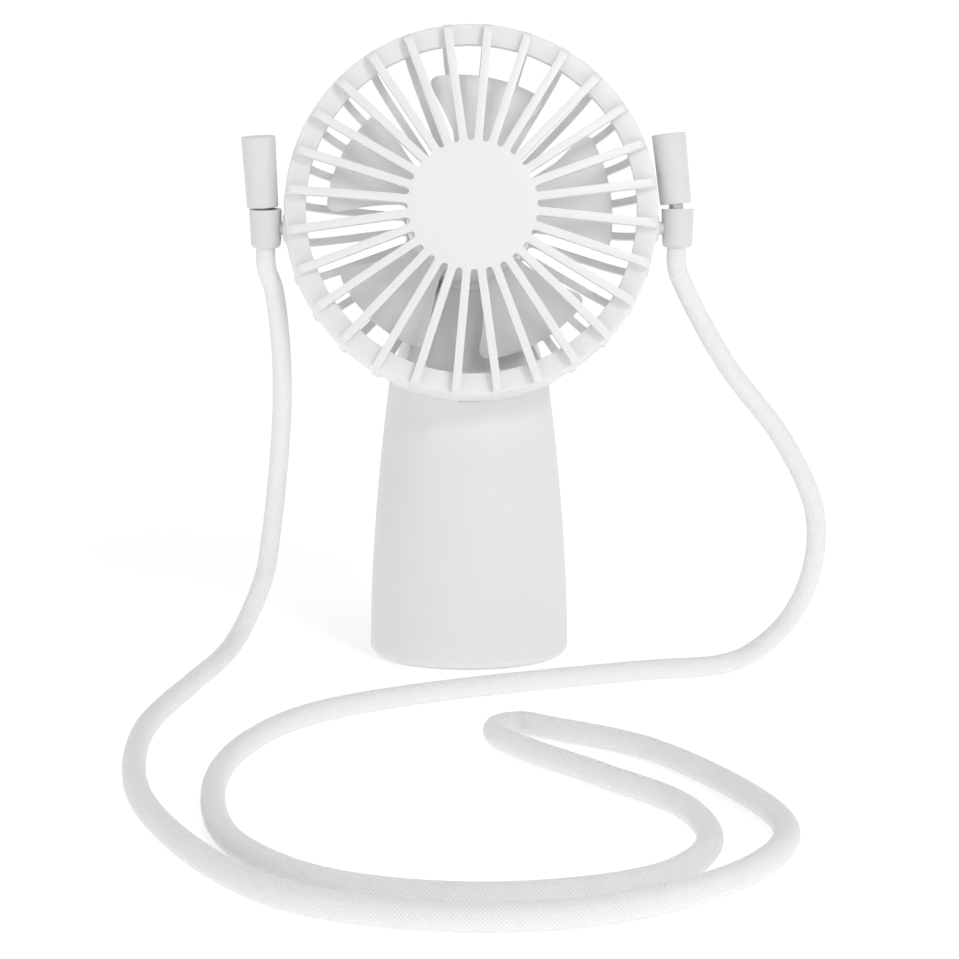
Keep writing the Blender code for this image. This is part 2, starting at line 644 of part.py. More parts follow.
def lofted(sections, steps):
    """Join level oval sections into one closed body."""
    bm = bmesh.new()
    rings = []
    for height, half_width, front, back in sections:
        middle, half_depth = (front + back) / 2, (back - front) / 2
        ring = []
        for step in range(steps):
            angle = math.tau * step / steps
            ring.append(bm.verts.new((
                half_width * math.cos(angle), middle + half_depth * math.sin(angle), height,
            )))
        rings.append(ring)
    for lower, upper in zip(rings, rings[1:]):
        for step in range(steps):
            after = (step + 1) % steps
            bm.faces.new((lower[step], lower[after], upper[after], upper[step]))
    bm.faces.new(rings[0][::-1])
    bm.faces.new(rings[-1])
    return bm


def build_handle(head, plastic):
    """Handle body: the tapered grip, the saddle, the neck and the motor pod in one moulding."""
    body = add_piece("handle_body", lofted(handle_sections(), HANDLE_STEPS), plastic)
    pod = rod(POD_RADIUS, REAR_PLATE_BACK - 2 * MM, POD_END + 3 * MM, 48)
    combine(body, add_tool("pod_outside", pod, head), "UNION")

    saddle = offset_path(cage_outside(), -CAGE_GAP)
    saddle[-1] = (REAR_PLATE_RADIUS, REAR_PLATE_BACK + SEAT_GAP)
    saddle = [(0, -10 * MM), (saddle[0][0], -10 * MM), *saddle, (0, REAR_PLATE_BACK + SEAT_GAP)]
    combine(body, add_tool("saddle", turned(saddle, TURNED_STEPS), head), "DIFFERENCE")

    cavity = [(0, -5 * MM), (MOUTH_RADIUS, -5 * MM), (MOUTH_RADIUS, MOUTH_DEPTH)]
    top = SHOULDER_HEIGHT - 4 * MM
    for step in range(6):
        height = MOUTH_DEPTH + 2 * MM + (top - MOUTH_DEPTH - 2 * MM) * step / 5
        cavity.append((handle_radius(height) - HANDLE_WALL, height))
    cavity += [(14 * MM, top + 4 * MM), (8 * MM, top + 6.6 * MM), (0, top + 7.6 * MM)]
    combine(body, add_tool("handle_cavity", turned(cavity, 32)), "DIFFERENCE")
    pod_floor = REAR_PLATE_BACK + SEAT_GAP + POD_FLOOR
    pod_hollow = turned([
        (0, pod_floor), (POD_RADIUS - POD_WALL, pod_floor), (POD_RADIUS - POD_WALL, POD_END),
        (POD_RADIUS + 1 * MM, POD_END), (POD_RADIUS + 1 * MM, POD_END + 20 * MM),
        (0, POD_END + 20 * MM),
    ], 48)
    combine(body, add_tool("pod_hollow", pod_hollow, head), "DIFFERENCE")

    run = CHANNEL_HIGH - CHANNEL_LOW
    turn = run.to_track_quat("Z", "Y").to_matrix().to_4x4()
    channel = rod(CHANNEL_RADIUS, 0, run.length, 16)
    place = Matrix.Translation(CHANNEL_LOW) @ turn
    combine(body, add_tool("lead_channel", channel, None, place), "DIFFERENCE")

    holes = bmesh.new()
    for place in guard_screw_places():
        hole = rod(SCREW_RADIUS + SEAT_GAP, pod_floor - 5 * MM, pod_floor + 1 * MM, 16)
        merge(holes, hole, Matrix.Translation(place))
    merge(holes, rod(CHANNEL_RADIUS, pod_floor - 5 * MM, pod_floor + 1 * MM, 16),
          Matrix.Translation((0, LEAD_HOLE_DROP, 0)))
    combine(body, add_tool("pod_floor_holes", holes, head), "DIFFERENCE")

    openings = bmesh.new()
    back = BASE_RADIUS + 5 * MM
    button_hole = rod(BUTTON_RADIUS + SEAT_GAP, 0, 14 * MM, 24)
    merge(openings, button_hole, back_matrix(BUTTON_HEIGHT, 18 * MM))
    merge(openings, rod(LENS_RADIUS + SEAT_GAP, 0, 14 * MM, 12), back_matrix(LENS_HEIGHT, 18 * MM))
    half_port = (PORT_WIDTH / 2 + SEAT_GAP, PORT_THICKNESS / 2 + SEAT_GAP)
    merge(openings, block(
        (-half_port[0], 20 * MM, PORT_HEIGHT - half_port[1]),
        (half_port[0], back, PORT_HEIGHT + half_port[1]),
    ))
    combine(body, add_tool("back_openings", openings), "DIFFERENCE")
    return body


def back_matrix(height, depth):
    """Return a frame on the handle's back whose +Z points out of the back."""
    return Matrix.Translation((0, depth, height)) @ Matrix.Rotation(math.radians(-90), 4, "X")


def build_pod_cover(head, plastic):
    """Pod cover: a crowned cap with a rim that plugs into the pod."""
    face = POD_END + SEAT_GAP
    plug = POD_RADIUS - POD_WALL - SEAT_GAP
    crown = face + POD_COVER_THICKNESS
    profile = [
        (0, face), (plug - 1.4 * MM, face),
        (plug - 1.4 * MM, face - 2.5 * MM), (plug, face - 2.5 * MM),
        (plug, face), (POD_RADIUS - 0.2 * MM, face), (POD_RADIUS, face + 0.4 * MM),
        (POD_RADIUS - 0.3 * MM, crown - 0.2 * MM), (POD_RADIUS - 1.6 * MM, crown + 0.5 * MM),
        (0.6 * POD_RADIUS, crown + 0.8 * POD_COVER_CROWN), (0, crown + POD_COVER_CROWN),
    ]
    add_piece("pod_cover", turned(profile, 40), plastic, head)


def build_base(plastic, rubber, steel):
    """Base: the cap that closes the handle, its rubber foot and the screws that hold the frame."""
    add_piece("foot_pad", turned([
        (0, 0), (FOOT_RADIUS - 0.4 * MM, 0), (FOOT_RADIUS, 0.4 * MM), (FOOT_RADIUS, FOOT_THICKNESS),
        (0, FOOT_THICKNESS),
    ], 48), rubber)
    low = FOOT_THICKNESS + SEAT_GAP
    high = low + BASE_CAP_THICKNESS
    cap = add_piece("base_cap", rod(MOUTH_RADIUS - SEAT_GAP, low, high, 48), plastic)
    holes = bmesh.new()
    head_seat = low + SCREW_HEAD_HEIGHT + SEAT_GAP
    for side in (-1, 1):
        hole = turned([
            (0, 0), (SCREW_HEAD_RADIUS + SEAT_GAP, 0), (SCREW_HEAD_RADIUS + SEAT_GAP, head_seat),
            (SCREW_RADIUS + SEAT_GAP, head_seat), (SCREW_RADIUS + SEAT_GAP, 2 * high), (0, 2 * high),
        ], 16)
        merge(holes, hole, Matrix.Translation((side * BASE_SCREW_X, 0, 0)))
    combine(cap, add_tool("base_cap_holes", holes), "DIFFERENCE")
    for number, side in enumerate((-1, 1), start=1):
        place = Matrix.Translation((side * BASE_SCREW_X, 0, head_seat - SEAT_GAP))
        add_piece(f"base_screw_{number}", screw_shape(), steel, None, place)
    return high


def build_chassis(base_top, plastic, wrap, laminate):
    """Inner frame with its two clips, the battery cell that they hold and the circuit board."""
    foot_low = base_top + SEAT_GAP
    foot_top = foot_low + FRAME_FOOT_THICKNESS
    clip_bore = BATTERY_RADIUS + SEAT_GAP
    plate_front = BATTERY_Y + clip_bore + 2.9 * MM
    plate_back = plate_front + FRAME_PLATE_THICKNESS
    battery_low = foot_top + SEAT_GAP
    frame_top = battery_low + BATTERY_LENGTH
    frame = add_piece("inner_frame", rod(FRAME_FOOT_RADIUS, foot_low, foot_top, 40), plastic)

    parts = bmesh.new()
    merge(parts, block(
        (-FRAME_PLATE_WIDTH / 2, plate_front, foot_low + 0.5 * MM),
        (FRAME_PLATE_WIDTH / 2, plate_back, foot_low + FRAME_PLATE_HEIGHT),
    ))
    combine(frame, add_tool("frame_plate", parts), "UNION")
    clips = bmesh.new()
    for low in (foot_top + 9 * MM, frame_top - 9 * MM - CLIP_HEIGHT):
        clip = tube(clip_bore, clip_bore + 3.3 * MM, low, low + CLIP_HEIGHT, 24)
        merge(clips, clip, Matrix.Translation((0, BATTERY_Y, 0)))
    for side in (-1, 1):
        boss = rod(SCREW_BOSS_RADIUS, foot_low + 0.5 * MM, foot_top + 5 * MM, 16)
        merge(clips, boss, Matrix.Translation((side * BASE_SCREW_X, 0, 0)))
    combine(frame, add_tool("frame_clips", clips), "UNION")
    cuts = bmesh.new()
    mouth_low = foot_top + 5.5 * MM
    merge(cuts, block((-20 * MM, -30 * MM, mouth_low), (20 * MM, BATTERY_Y - 5 * MM, frame_top + 5 * MM)))
    for side in (-1, 1):
        hole = rod(SCREW_RADIUS + SEAT_GAP, 0, foot_top + 10 * MM, 16)
        merge(cuts, hole, Matrix.Translation((side * BASE_SCREW_X, 0, 0)))
    combine(frame, add_tool("frame_cuts", cuts), "DIFFERENCE")

    cell = turned([
        (0, battery_low), (BATTERY_RADIUS - 0.6 * MM, battery_low),
        (BATTERY_RADIUS, battery_low + 0.6 * MM),
        (BATTERY_RADIUS, frame_top - 2.6 * MM), (BATTERY_RADIUS - 0.6 * MM, frame_top - 2.0 * MM),
        (3.2 * MM, frame_top - 2.0 * MM), (3.2 * MM, frame_top - 0.8 * MM), (0, frame_top - 0.8 * MM),
    ], 24)
    add_piece("battery_cell", cell, wrap, None, Matrix.Translation((0, BATTERY_Y, 0)))
    board_front = plate_back + SEAT_GAP
    board_back = board_front + BOARD_THICKNESS
    add_piece("circuit_board", block(
        (-BOARD_WIDTH / 2, board_front, BOARD_BOTTOM),
        (BOARD_WIDTH / 2, board_back, BOARD_BOTTOM + BOARD_HEIGHT),
    ), laminate)
    return board_back


def build_controls(board_back, button_axis, plastic, dark, steel, clear):
    """Push button, the switch under it, the light pipe and the charging socket."""
    mount = board_back + SEAT_GAP
    switch_top = mount + SWITCH_HEIGHT
    switch = block(
        (-SWITCH_SIDE / 2, mount, BUTTON_HEIGHT - SWITCH_SIDE / 2),
        (SWITCH_SIDE / 2, switch_top, BUTTON_HEIGHT + SWITCH_SIDE / 2),
    )
    switch_piece = add_piece("power_switch", switch, dark)
    plunger_top = switch_top + 0.4 * MM
    plunger = rod(1.7 * MM, -1 * MM, 0.4 * MM, 16)
    place = back_matrix(BUTTON_HEIGHT, switch_top)
    combine(switch_piece, add_tool("switch_plunger", plunger, None, place), "UNION")

    flange_radius = BUTTON_RADIUS + 1.1 * MM
    inner_radius = handle_radius(BUTTON_HEIGHT) - HANDLE_WALL
    flange_back = math.sqrt(inner_radius ** 2 - flange_radius ** 2) - SEAT_GAP
    flange_back = min(flange_back, handle_radius(BUTTON_HEIGHT + flange_radius) - HANDLE_WALL - SEAT_GAP)
    top = handle_radius(BUTTON_HEIGHT) + BUTTON_PROUD
    origin = handle_radius(BUTTON_HEIGHT)
    foot = plunger_top + SEAT_GAP + BUTTON_TRAVEL
    shape = [
        (0, foot), (2 * MM, foot), (2 * MM, flange_back - BUTTON_FLANGE),
        (flange_radius, flange_back - BUTTON_FLANGE), (flange_radius, flange_back),
        (BUTTON_RADIUS, flange_back), (BUTTON_RADIUS, top - 0.6 * MM), (BUTTON_RADIUS - 0.6 * MM, top),
        (0, top + 0.3 * MM),
    ]
    button = turned([(radius, depth - origin) for radius, depth in shape], 24)
    add_piece("power_button", button, plastic, button_axis)

    pipe_end = handle_radius(LENS_HEIGHT) - 0.1 * MM
    pipe = turned([
        (0, mount), (LENS_RADIUS, mount), (LENS_RADIUS, pipe_end - 0.3 * MM),
        (LENS_RADIUS - 0.4 * MM, pipe_end), (0, pipe_end),
    ], 16)
    add_piece("light_pipe", pipe, clear, None, back_matrix(LENS_HEIGHT, 0))

    mouth = handle_radius(PORT_HEIGHT) - 0.7 * MM
    half_width, half_height = PORT_WIDTH / 2, PORT_THICKNESS / 2
    socket = add_piece("usb_socket", block(
        (-half_width, mount, PORT_HEIGHT - half_height), (half_width, mouth, PORT_HEIGHT + half_height),
    ), steel)
    hollow = block(
        (-half_width + 0.4 * MM, mouth - 6.5 * MM, PORT_HEIGHT - half_height + 0.4 * MM),
        (half_width - 0.4 * MM, mouth + 2 * MM, PORT_HEIGHT + half_height - 0.4 * MM),
    )
    combine(socket, add_tool("socket_hollow", hollow), "DIFFERENCE")
    tongue = block(
        (-half_width + 1.2 * MM, mouth - 7.0 * MM, PORT_HEIGHT - 0.35 * MM),
        (half_width - 1.2 * MM, mouth - 1.0 * MM, PORT_HEIGHT + 0.35 * MM),
    )
    combine(socket, add_tool("socket_tongue", tongue), "UNION")


def build_leads(head, board_back, wrap):
    """Motor leads: from the circuit board up the neck and through the pod floor to the motor."""
    beside = board_back + SEAT_GAP + LEAD_RADIUS
    low = BOARD_BOTTOM + BOARD_HEIGHT - 6 * MM
    route = [
        Vector((5 * MM, beside, low)), Vector((5 * MM, beside, low + 6.5 * MM)),
        Vector((4.4 * MM, beside - 0.8 * MM, low + 9 * MM)),
        Vector((2.2 * MM, beside - 4.5 * MM, low + 11.8 * MM)),
    ]
    for share in (0.14, 0.3, 0.5, 0.75, 1.0):
        route.append(CHANNEL_LOW.lerp(CHANNEL_HIGH, share))
    motor_end = REAR_PLATE_BACK - REAR_PLATE_THICKNESS + 0.1 * MM
    for depth in (REAR_PLATE_BACK + 4.6 * MM, REAR_PLATE_BACK + 0.4 * MM, motor_end):
        route.append(head @ Vector((0, LEAD_HOLE_DROP, depth)))
    route.insert(-3, CHANNEL_HIGH + Vector((0, 0.1, 3.0)) * MM)
    points, _ = smooth_curve(route, 24)
    add_cord("motor_leads", points, LEAD_RADIUS, wrap)


def build_fitting(name, side, frame, offset, lean, shift, lift, plastic, steel):
    """One cord fitting: the collar on its trunnion, and the barrel with its stem on top."""
    half = COLLAR_LENGTH / 2
    bore = CORD_DIAMETER / 2 + SEAT_GAP
    collar = add_piece(f"{name}_collar", turned([
        (bore, half), (COLLAR_TOP_RADIUS - 0.3 * MM, half), (COLLAR_TOP_RADIUS, half - 0.3 * MM),
        (COLLAR_MOUTH_RADIUS, -half + 0.9 * MM), (COLLAR_MOUTH_RADIUS - 0.3 * MM, -half + 0.25 * MM),
        (COLLAR_MOUTH_RADIUS - 0.8 * MM, -half), (bore, -half),
    ], 24, closed=True), plastic, frame)
    reach = offset + TRUNNION_BOSS_DEPTH - 1.0 * MM - SEAT_GAP
    trunnion = rod(TRUNNION_RADIUS, bore + 0.5 * MM, reach, 24)
    trunnion.transform(Matrix.Rotation(math.radians(-90 * side), 4, "Y"))
    combine(collar, add_tool(f"{name}_trunnion", trunnion, frame), "UNION")

    place = Matrix.Translation((shift, 0, half + lift)) @ Matrix.Rotation(lean, 4, "Y")
    stem_hole = STEM_RADIUS + SEAT_GAP
    barrel = turned([
        (0, STEM_IN_BARREL + SEAT_GAP), (stem_hole, STEM_IN_BARREL + SEAT_GAP), (stem_hole, 0),
        (BARREL_FOOT_RADIUS - 0.3 * MM, 0), (BARREL_FOOT_RADIUS, 0.3 * MM),
        (BARREL_TOP_RADIUS, BARREL_LENGTH - 0.7 * MM),
        (BARREL_TOP_RADIUS - 0.25 * MM, BARREL_LENGTH - 0.2 * MM),
        (BARREL_TOP_RADIUS - 0.8 * MM, BARREL_LENGTH), (0, BARREL_LENGTH),
    ], 32)
    add_piece(f"{name}_barrel", barrel, plastic, frame, place)
    stem_foot = -half + CORD_INSERTION + RUN_GAP
    stem = rod(STEM_RADIUS, stem_foot - half - lift, STEM_IN_BARREL, 20)
    add_piece(f"{name}_stem", stem, steel, frame, place)


def build_neck_cord(left, right, parent, cloth):
    """Neck cord: one woven cord from collar to collar, laid forwards on the table in a long fold."""
    end = -COLLAR_LENGTH / 2 + CORD_INSERTION
    mouth = -COLLAR_LENGTH / 2
    heights = (end, mouth - CORD_DIAMETER)
    start = [left @ Vector((0, 0, height)) for height in heights]
    finish = [right @ Vector((0, 0, height)) for height in reversed(heights)]
    middle = [Vector(point) * MM for point in CORD_ROUTE]
    points, length = smooth_curve([*start, *middle, *finish], CORD_POINTS - 2, CORD_BEND_WEIGHT)
    points.insert(1, start[-1])
    points.insert(-1, finish[0])
    for point in points:
        point.z = max(point.z, CORD_LIE)
    to_local = parent.inverted()
    add_cord("neck_cord", [to_local @ point for point in points], CORD_DIAMETER / 2, cloth)
    print(f"neck cord: {length:.4f} m")


def main():
    """Build the whole fan."""
    for obj in list(bpy.data.objects):
        bpy.data.objects.remove(obj)

    white = material("white_abs", (0.80, 0.80, 0.79), 0.42)
    rubber = material("white_rubber", (0.66, 0.66, 0.65), 0.85)
    cloth = material("white_woven_polyester", (0.82, 0.82, 0.81), 0.95)
    steel = material("steel", (0.62, 0.62, 0.62), 0.3, 1.0)
    brass = material("sintered_bronze", (0.55, 0.36, 0.16), 0.4, 1.0)
    dark = material("black_nylon", (0.03, 0.03, 0.03), 0.5)
    wrap = material("cell_wrap", (0.05, 0.22, 0.45), 0.35)
    laminate = material("board_laminate", (0.02, 0.18, 0.06), 0.45)
    clear = material("clear_acrylic", (0.85, 0.88, 0.90), 0.1)

    head_matrix = Matrix.Translation(HEAD_CENTRE) @ Matrix.Rotation(-math.pi / 2 - HEAD_TILT, 4, "X")
    head = empty("head_frame", head_matrix)
    spin = empty("impeller_axis", Matrix.Identity(4), head)
    press = empty("button_axis", back_matrix(BUTTON_HEIGHT, handle_radius(BUTTON_HEIGHT)))
    trunnion_centre = head_matrix @ Vector((0, TRUNNION_DROP, TRUNNION_DEPTH))
    lanyard_matrix = Matrix.Translation(trunnion_centre)
    lanyard = empty("lanyard_axis", lanyard_matrix)
    side = cage_radius(TRUNNION_DEPTH)
    left_local = Matrix.Translation((-side - LEFT_COLLAR_OFFSET, 0, 0)) @ Matrix.Rotation(LEFT_PITCH, 4, "X")
    right_local = Matrix.Translation((side + RIGHT_COLLAR_OFFSET, 0, 0))
    left = empty("left_fitting", left_local, lanyard)
    right = empty("right_fitting", right_local, lanyard)

    build_front_guard(head, white)
    build_rear_guard(head, white)
    shaft_back = build_impeller(spin, white, steel)
    build_motor(head, steel, dark, brass, shaft_back)
    build_handle(head, white)
    build_pod_cover(head, white)
    pod_floor = REAR_PLATE_BACK + SEAT_GAP + POD_FLOOR
    for number, place in enumerate(guard_screw_places(), start=1):
        seat = Matrix.Translation((place.x, place.y, pod_floor + SEAT_GAP))
        place = seat @ Matrix.Rotation(math.pi, 4, "X")
        add_piece(f"guard_screw_{number}", screw_shape(), steel, head, place)
    base_top = build_base(white, rubber, steel)
    board_back = build_chassis(base_top, white, wrap, laminate)
    build_controls(board_back, press, white, dark, steel, clear)
    build_leads(head_matrix, board_back, dark)
    build_fitting("left", -1, left, LEFT_COLLAR_OFFSET, LEFT_BARREL_LEAN, LEFT_BARREL_SHIFT,
                  LEFT_BARREL_LIFT, white, steel)
    build_fitting("right", 1, right, RIGHT_COLLAR_OFFSET, RIGHT_BARREL_LEAN, RIGHT_BARREL_SHIFT,
                  RIGHT_BARREL_LIFT, white, steel)
    cord_frames = (lanyard_matrix @ left_local, lanyard_matrix @ right_local)
    build_neck_cord(*cord_frames, Matrix.Identity(4), cloth)
    print("trunnion axis:", tuple(round(value, 6) for value in trunnion_centre))


main()
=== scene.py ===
"""Studio scene of a lanyard fan: caged head, tapered handle and a woven neck cord.

Sizes are in metres, +Z is up and the fan faces -Y. The head has a frame of its own: its origin is
the middle of the front disc's face, +X is the fan's +X, +Y points down the face and +Z points
backwards into the head, so a depth is a distance behind the disc's face.
"""

import logging
import math
from collections.abc import Iterable, Sequence
from dataclasses import dataclass
from enum import Enum
from itertools import pairwise

import bmesh
import bpy
from mathutils import Matrix, Vector


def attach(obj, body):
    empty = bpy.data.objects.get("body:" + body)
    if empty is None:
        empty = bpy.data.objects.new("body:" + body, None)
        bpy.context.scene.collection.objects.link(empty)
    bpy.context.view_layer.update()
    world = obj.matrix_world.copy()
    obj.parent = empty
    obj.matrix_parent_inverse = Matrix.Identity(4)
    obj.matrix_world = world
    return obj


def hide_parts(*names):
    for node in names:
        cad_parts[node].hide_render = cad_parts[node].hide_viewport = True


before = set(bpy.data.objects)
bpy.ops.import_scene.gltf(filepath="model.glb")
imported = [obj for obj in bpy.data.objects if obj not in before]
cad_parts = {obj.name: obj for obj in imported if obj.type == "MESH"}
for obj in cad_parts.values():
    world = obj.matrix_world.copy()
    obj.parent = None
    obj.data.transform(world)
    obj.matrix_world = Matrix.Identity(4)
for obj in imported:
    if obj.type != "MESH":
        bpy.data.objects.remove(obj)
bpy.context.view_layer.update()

LOG = logging.getLogger("lanyard_fan")
MM = 0.001
Profile = Sequence[tuple[float, float]]
Solid = bmesh.types.BMesh
Tree = bpy.types.NodeTree
Node = bpy.types.Node
Socket = bpy.types.NodeSocket

# The gap that seated parts leave, the head's own frame, and the point between the cord's two trunnions.
SEAT_GAP = 0.3 * MM
HEAD_TILT = math.radians(10.5)
HEAD_MIDDLE = Vector((0, -32.0, 123.6)) * MM
HEAD = Matrix.Translation(HEAD_MIDDLE) @ Matrix.Rotation(-math.pi / 2 - HEAD_TILT, 4, "X")
TRUNNION = Vector((0.0, -20.438, 117.389)) * MM

# Steps round a turned form, from a large one to a tiny one.
WIDE, MEDIUM, SMALL, TINY = 112, 96, 48, 32
# Steps between two given points of a smooth curve.
CURVE_STEPS = 60
# Size of the soft patches in every finish, and how far its roughness wanders from the mean.
PATCH_SIZE = 18 * MM
WANDER = 0.05
# Places of the sockets on the node that mixes two colours.
MIX_SHARE, MIX_FIRST, MIX_SECOND, MIX_RESULT = 0, 6, 7, 2


class Body(Enum):
    """The rigid bodies that a piece can move with."""

    FAN = "fan_body"
    ROTOR = "impeller_rotor"
    BUTTON = "button"
    LANYARD = "lanyard"


class Slot(Enum):
    """The record's material slots."""

    ABS = "white_abs"
    RUBBER = "white_rubber"
    CLOTH = "white_woven_polyester"
    STEEL = "steel"
    BRONZE = "sintered_bronze"
    NYLON = "black_nylon"
    SLEEVE = "cell_wrap"
    LAMINATE = "board_laminate"
    ACRYLIC = "clear_acrylic"


# Finishes


def linear(colour: str) -> tuple[float, float, float, float]:
    """Turn an sRGB hex colour into linear red, green, blue and alpha.

    Args:
        colour: Six hex digits, such as "E8E8E6".

    Returns:
        The linear colour with an alpha of one.
    """
    channels = [int(colour[place:place + 2], 16) / 255 for place in (0, 2, 4)]
    red, green, blue = (c / 12.92 if c <= 0.04045 else ((c + 0.055) / 1.055) ** 2.4 for c in channels)
    return red, green, blue, 1.0


def add_node(tree: Tree, kind: str, inputs: dict | None = None, **settings: object) -> Node:
    """Add one shader node with its settings and links.

    Args:
        tree: The material's node tree.
        kind: The node's type name.
        inputs: A value or another node's output socket for each input, by name or number.
        **settings: Attributes of the node itself.

    Returns:
        The new node.
    """
    node = tree.nodes.new(kind)
    for key, value in settings.items():
        setattr(node, key, value)
    for key, value in (inputs or {}).items():
        if isinstance(value, Socket):
            tree.links.new(value, node.inputs[key])
        else:
            node.inputs[key].default_value = value
    return node


def new_material(name: str, values: dict[str, object]) -> tuple[bpy.types.Material, Node]:
    """Make a material and set its Principled shader.

    Args:
        name: The material's name.
        values: What each input is set to, by the input's name.

    Returns:
        The material and its shader.
    """
    mat = bpy.data.materials.new(name)
    mat.use_nodes = True
    shader = mat.node_tree.nodes["Principled BSDF"]
    for key, value in values.items():
        shader.inputs[key].default_value = value
    return mat, shader


@dataclass(frozen=True)
class Finish:
    """A surface finish: its colour, how it scatters light and the relief that its making left.

    Attributes:
        name: The material's name.
        slot: The record's slot that the finish belongs to; not used.
        colour: Base colour in sRGB hex.
        shade: The colour of its slightly darker patches in sRGB hex; on the braided cord, the painted shade
            in the hollows between the yarns.
        roughness: Mean roughness.
        grain: Size of the surface relief.
        relief: Height of that relief.
        ior: Index of refraction, for anything but a metal.
        metallic: One for a metal.
    """

    name: str
    slot: Slot
    colour: str
    shade: str
    roughness: float
    grain: float
    relief: float
    ior: float = 1.5
    metallic: float = 0.0

    def make(self) -> bpy.types.Material:
        """Return the finish's material, and build it the first time.

        Returns:
            The material, one for all the pieces with this finish.
        """
        known = bpy.data.materials.get(self.name)
        if known is not None:
            return known
        mat, shader = new_material(self.name, {"IOR": self.ior, "Metallic": self.metallic})
        self.dress(mat.node_tree, shader)
        mat.diffuse_color = linear(self.colour)
        return mat

    def dress(self, tree: Tree, shader: Node) -> None:
        """Give the shader its patches, roughness and relief.

        Args:
            tree: The material's node tree.
            shader: Its Principled shader.
        """
        place = add_node(tree, "ShaderNodeTexCoord").outputs["Object"]
        patches = add_node(tree, "ShaderNodeTexNoise", {
            "Vector": place, "Scale": 1 / PATCH_SIZE, "Detail": 3.0,
        }).outputs["Fac"]
        self.blend_colour(tree, shader, patches)
        self.vary_roughness(tree, shader, patches)
        grain = add_node(tree, "ShaderNodeTexNoise", {
            "Vector": place, "Scale": 1 / self.grain, "Detail": 2.0,
        }).outputs["Fac"]
        self.raise_relief(tree, shader, grain)

    def blend_colour(self, tree: Tree, shader: Node, share: Socket) -> None:
        """Mix the finish's two colours.

        Args:
            tree: The material's node tree.
            shader: Its Principled shader.
            share: The share of the darker colour, from zero to one.
        """
        mix = add_node(tree, "ShaderNodeMix", {
            MIX_SHARE: share, MIX_FIRST: linear(self.colour), MIX_SECOND: linear(self.shade),
        }, data_type="RGBA")
        tree.links.new(mix.outputs[MIX_RESULT], shader.inputs["Base Color"])

    def vary_roughness(self, tree: Tree, shader: Node, share: Socket) -> None:
        """Let the roughness wander a little round its mean.

        Args:
            tree: The material's node tree.
            shader: Its Principled shader.
            share: A value about one half that the roughness follows.
        """
        spread = add_node(tree, "ShaderNodeMapRange", {
            "Value": share, "From Min": 0.3, "From Max": 0.7,
            "To Min": self.roughness - WANDER, "To Max": self.roughness + WANDER,
        })
        tree.links.new(spread.outputs["Result"], shader.inputs["Roughness"])

    def raise_relief(self, tree: Tree, shader: Node, height: Socket) -> None:
        """Turn a height into a bump on the shader's normal."""
        bump = add_node(tree, "ShaderNodeBump", {"Height": height, "Distance": self.relief, "Strength": 1.0})
        tree.links.new(bump.outputs["Normal"], shader.inputs["Normal"])


@dataclass(frozen=True)
class BraidedCord(Finish):
    """A woven tube: two sets of yarns that wind round the cord and pass over and under each other.

    Attributes:
        yarns: Number of yarns that wind one way round the cord.
        pitch: Distance along the cord between one crossing and the next.
        length: The cord's length, over which the along coordinate runs from zero to one.
        fuzz: Share of the loose fibres in the relief.
        sheen: Strength of the light that the fibres catch at the cord's edges.
        sheen_roughness: How widely they scatter it.
    """

    yarns: int = 16
    pitch: float = 1.0 * MM
    length: float = 1.0
    fuzz: float = 0.35
    sheen: float = 0.25
    sheen_roughness: float = 0.5

    def dress(self, tree: Tree, shader: Node) -> None:
        """Weave the yarns from the tube's own map, along in X and around in Y.

        Args:
            tree: The material's node tree.
            shader: Its Principled shader.
        """
        place = add_node(tree, "ShaderNodeTexCoord").outputs["UV"]
        split = add_node(tree, "ShaderNodeSeparateXYZ", {"Vector": place})
        along = add_node(tree, "ShaderNodeMath", {
            0: split.outputs["X"], 1: self.length / (2 * self.pitch),
        }, operation="MULTIPLY").outputs[0]
        around = add_node(tree, "ShaderNodeMath", {
            0: split.outputs["Y"], 1: self.yarns / 2,
        }, operation="MULTIPLY").outputs[0]
        ridges = []
        for operation in ("ADD", "SUBTRACT"):
            run = add_node(tree, "ShaderNodeMath", {0: along, 1: around}, operation=operation).outputs[0]
            turn = add_node(tree, "ShaderNodeMath", {0: run, 1: math.tau}, operation="MULTIPLY").outputs[0]
            wave = add_node(tree, "ShaderNodeMath", {0: turn}, operation="SINE").outputs[0]
            ridges.append(add_node(tree, "ShaderNodeMath", {0: wave}, operation="ABSOLUTE").outputs[0])
        weave = add_node(tree, "ShaderNodeMath", dict(enumerate(ridges)), operation="MULTIPLY").outputs[0]
        spot = add_node(tree, "ShaderNodeTexCoord").outputs["Object"]
        fibres = add_node(tree, "ShaderNodeTexNoise", {
            "Vector": spot, "Scale": 1 / self.grain, "Detail": 3.0,
        }).outputs["Fac"]
        height = add_node(tree, "ShaderNodeMath", {
            0: fibres, 1: self.fuzz, 2: weave,
        }, operation="MULTIPLY_ADD").outputs[0]
        # Painted shade: the darker colour fills the hollows between the yarns, where their shade falls.
        hollow = add_node(tree, "ShaderNodeMapRange", {
            "Value": weave, "From Min": 0.0, "From Max": 0.5, "To Min": 1.0, "To Max": 0.0,
        })
        self.blend_colour(tree, shader, hollow.outputs["Result"])
        self.vary_roughness(tree, shader, fibres)
        self.raise_relief(tree, shader, height)
        shader.inputs["Sheen Weight"].default_value = self.sheen
        shader.inputs["Sheen Roughness"].default_value = self.sheen_roughness


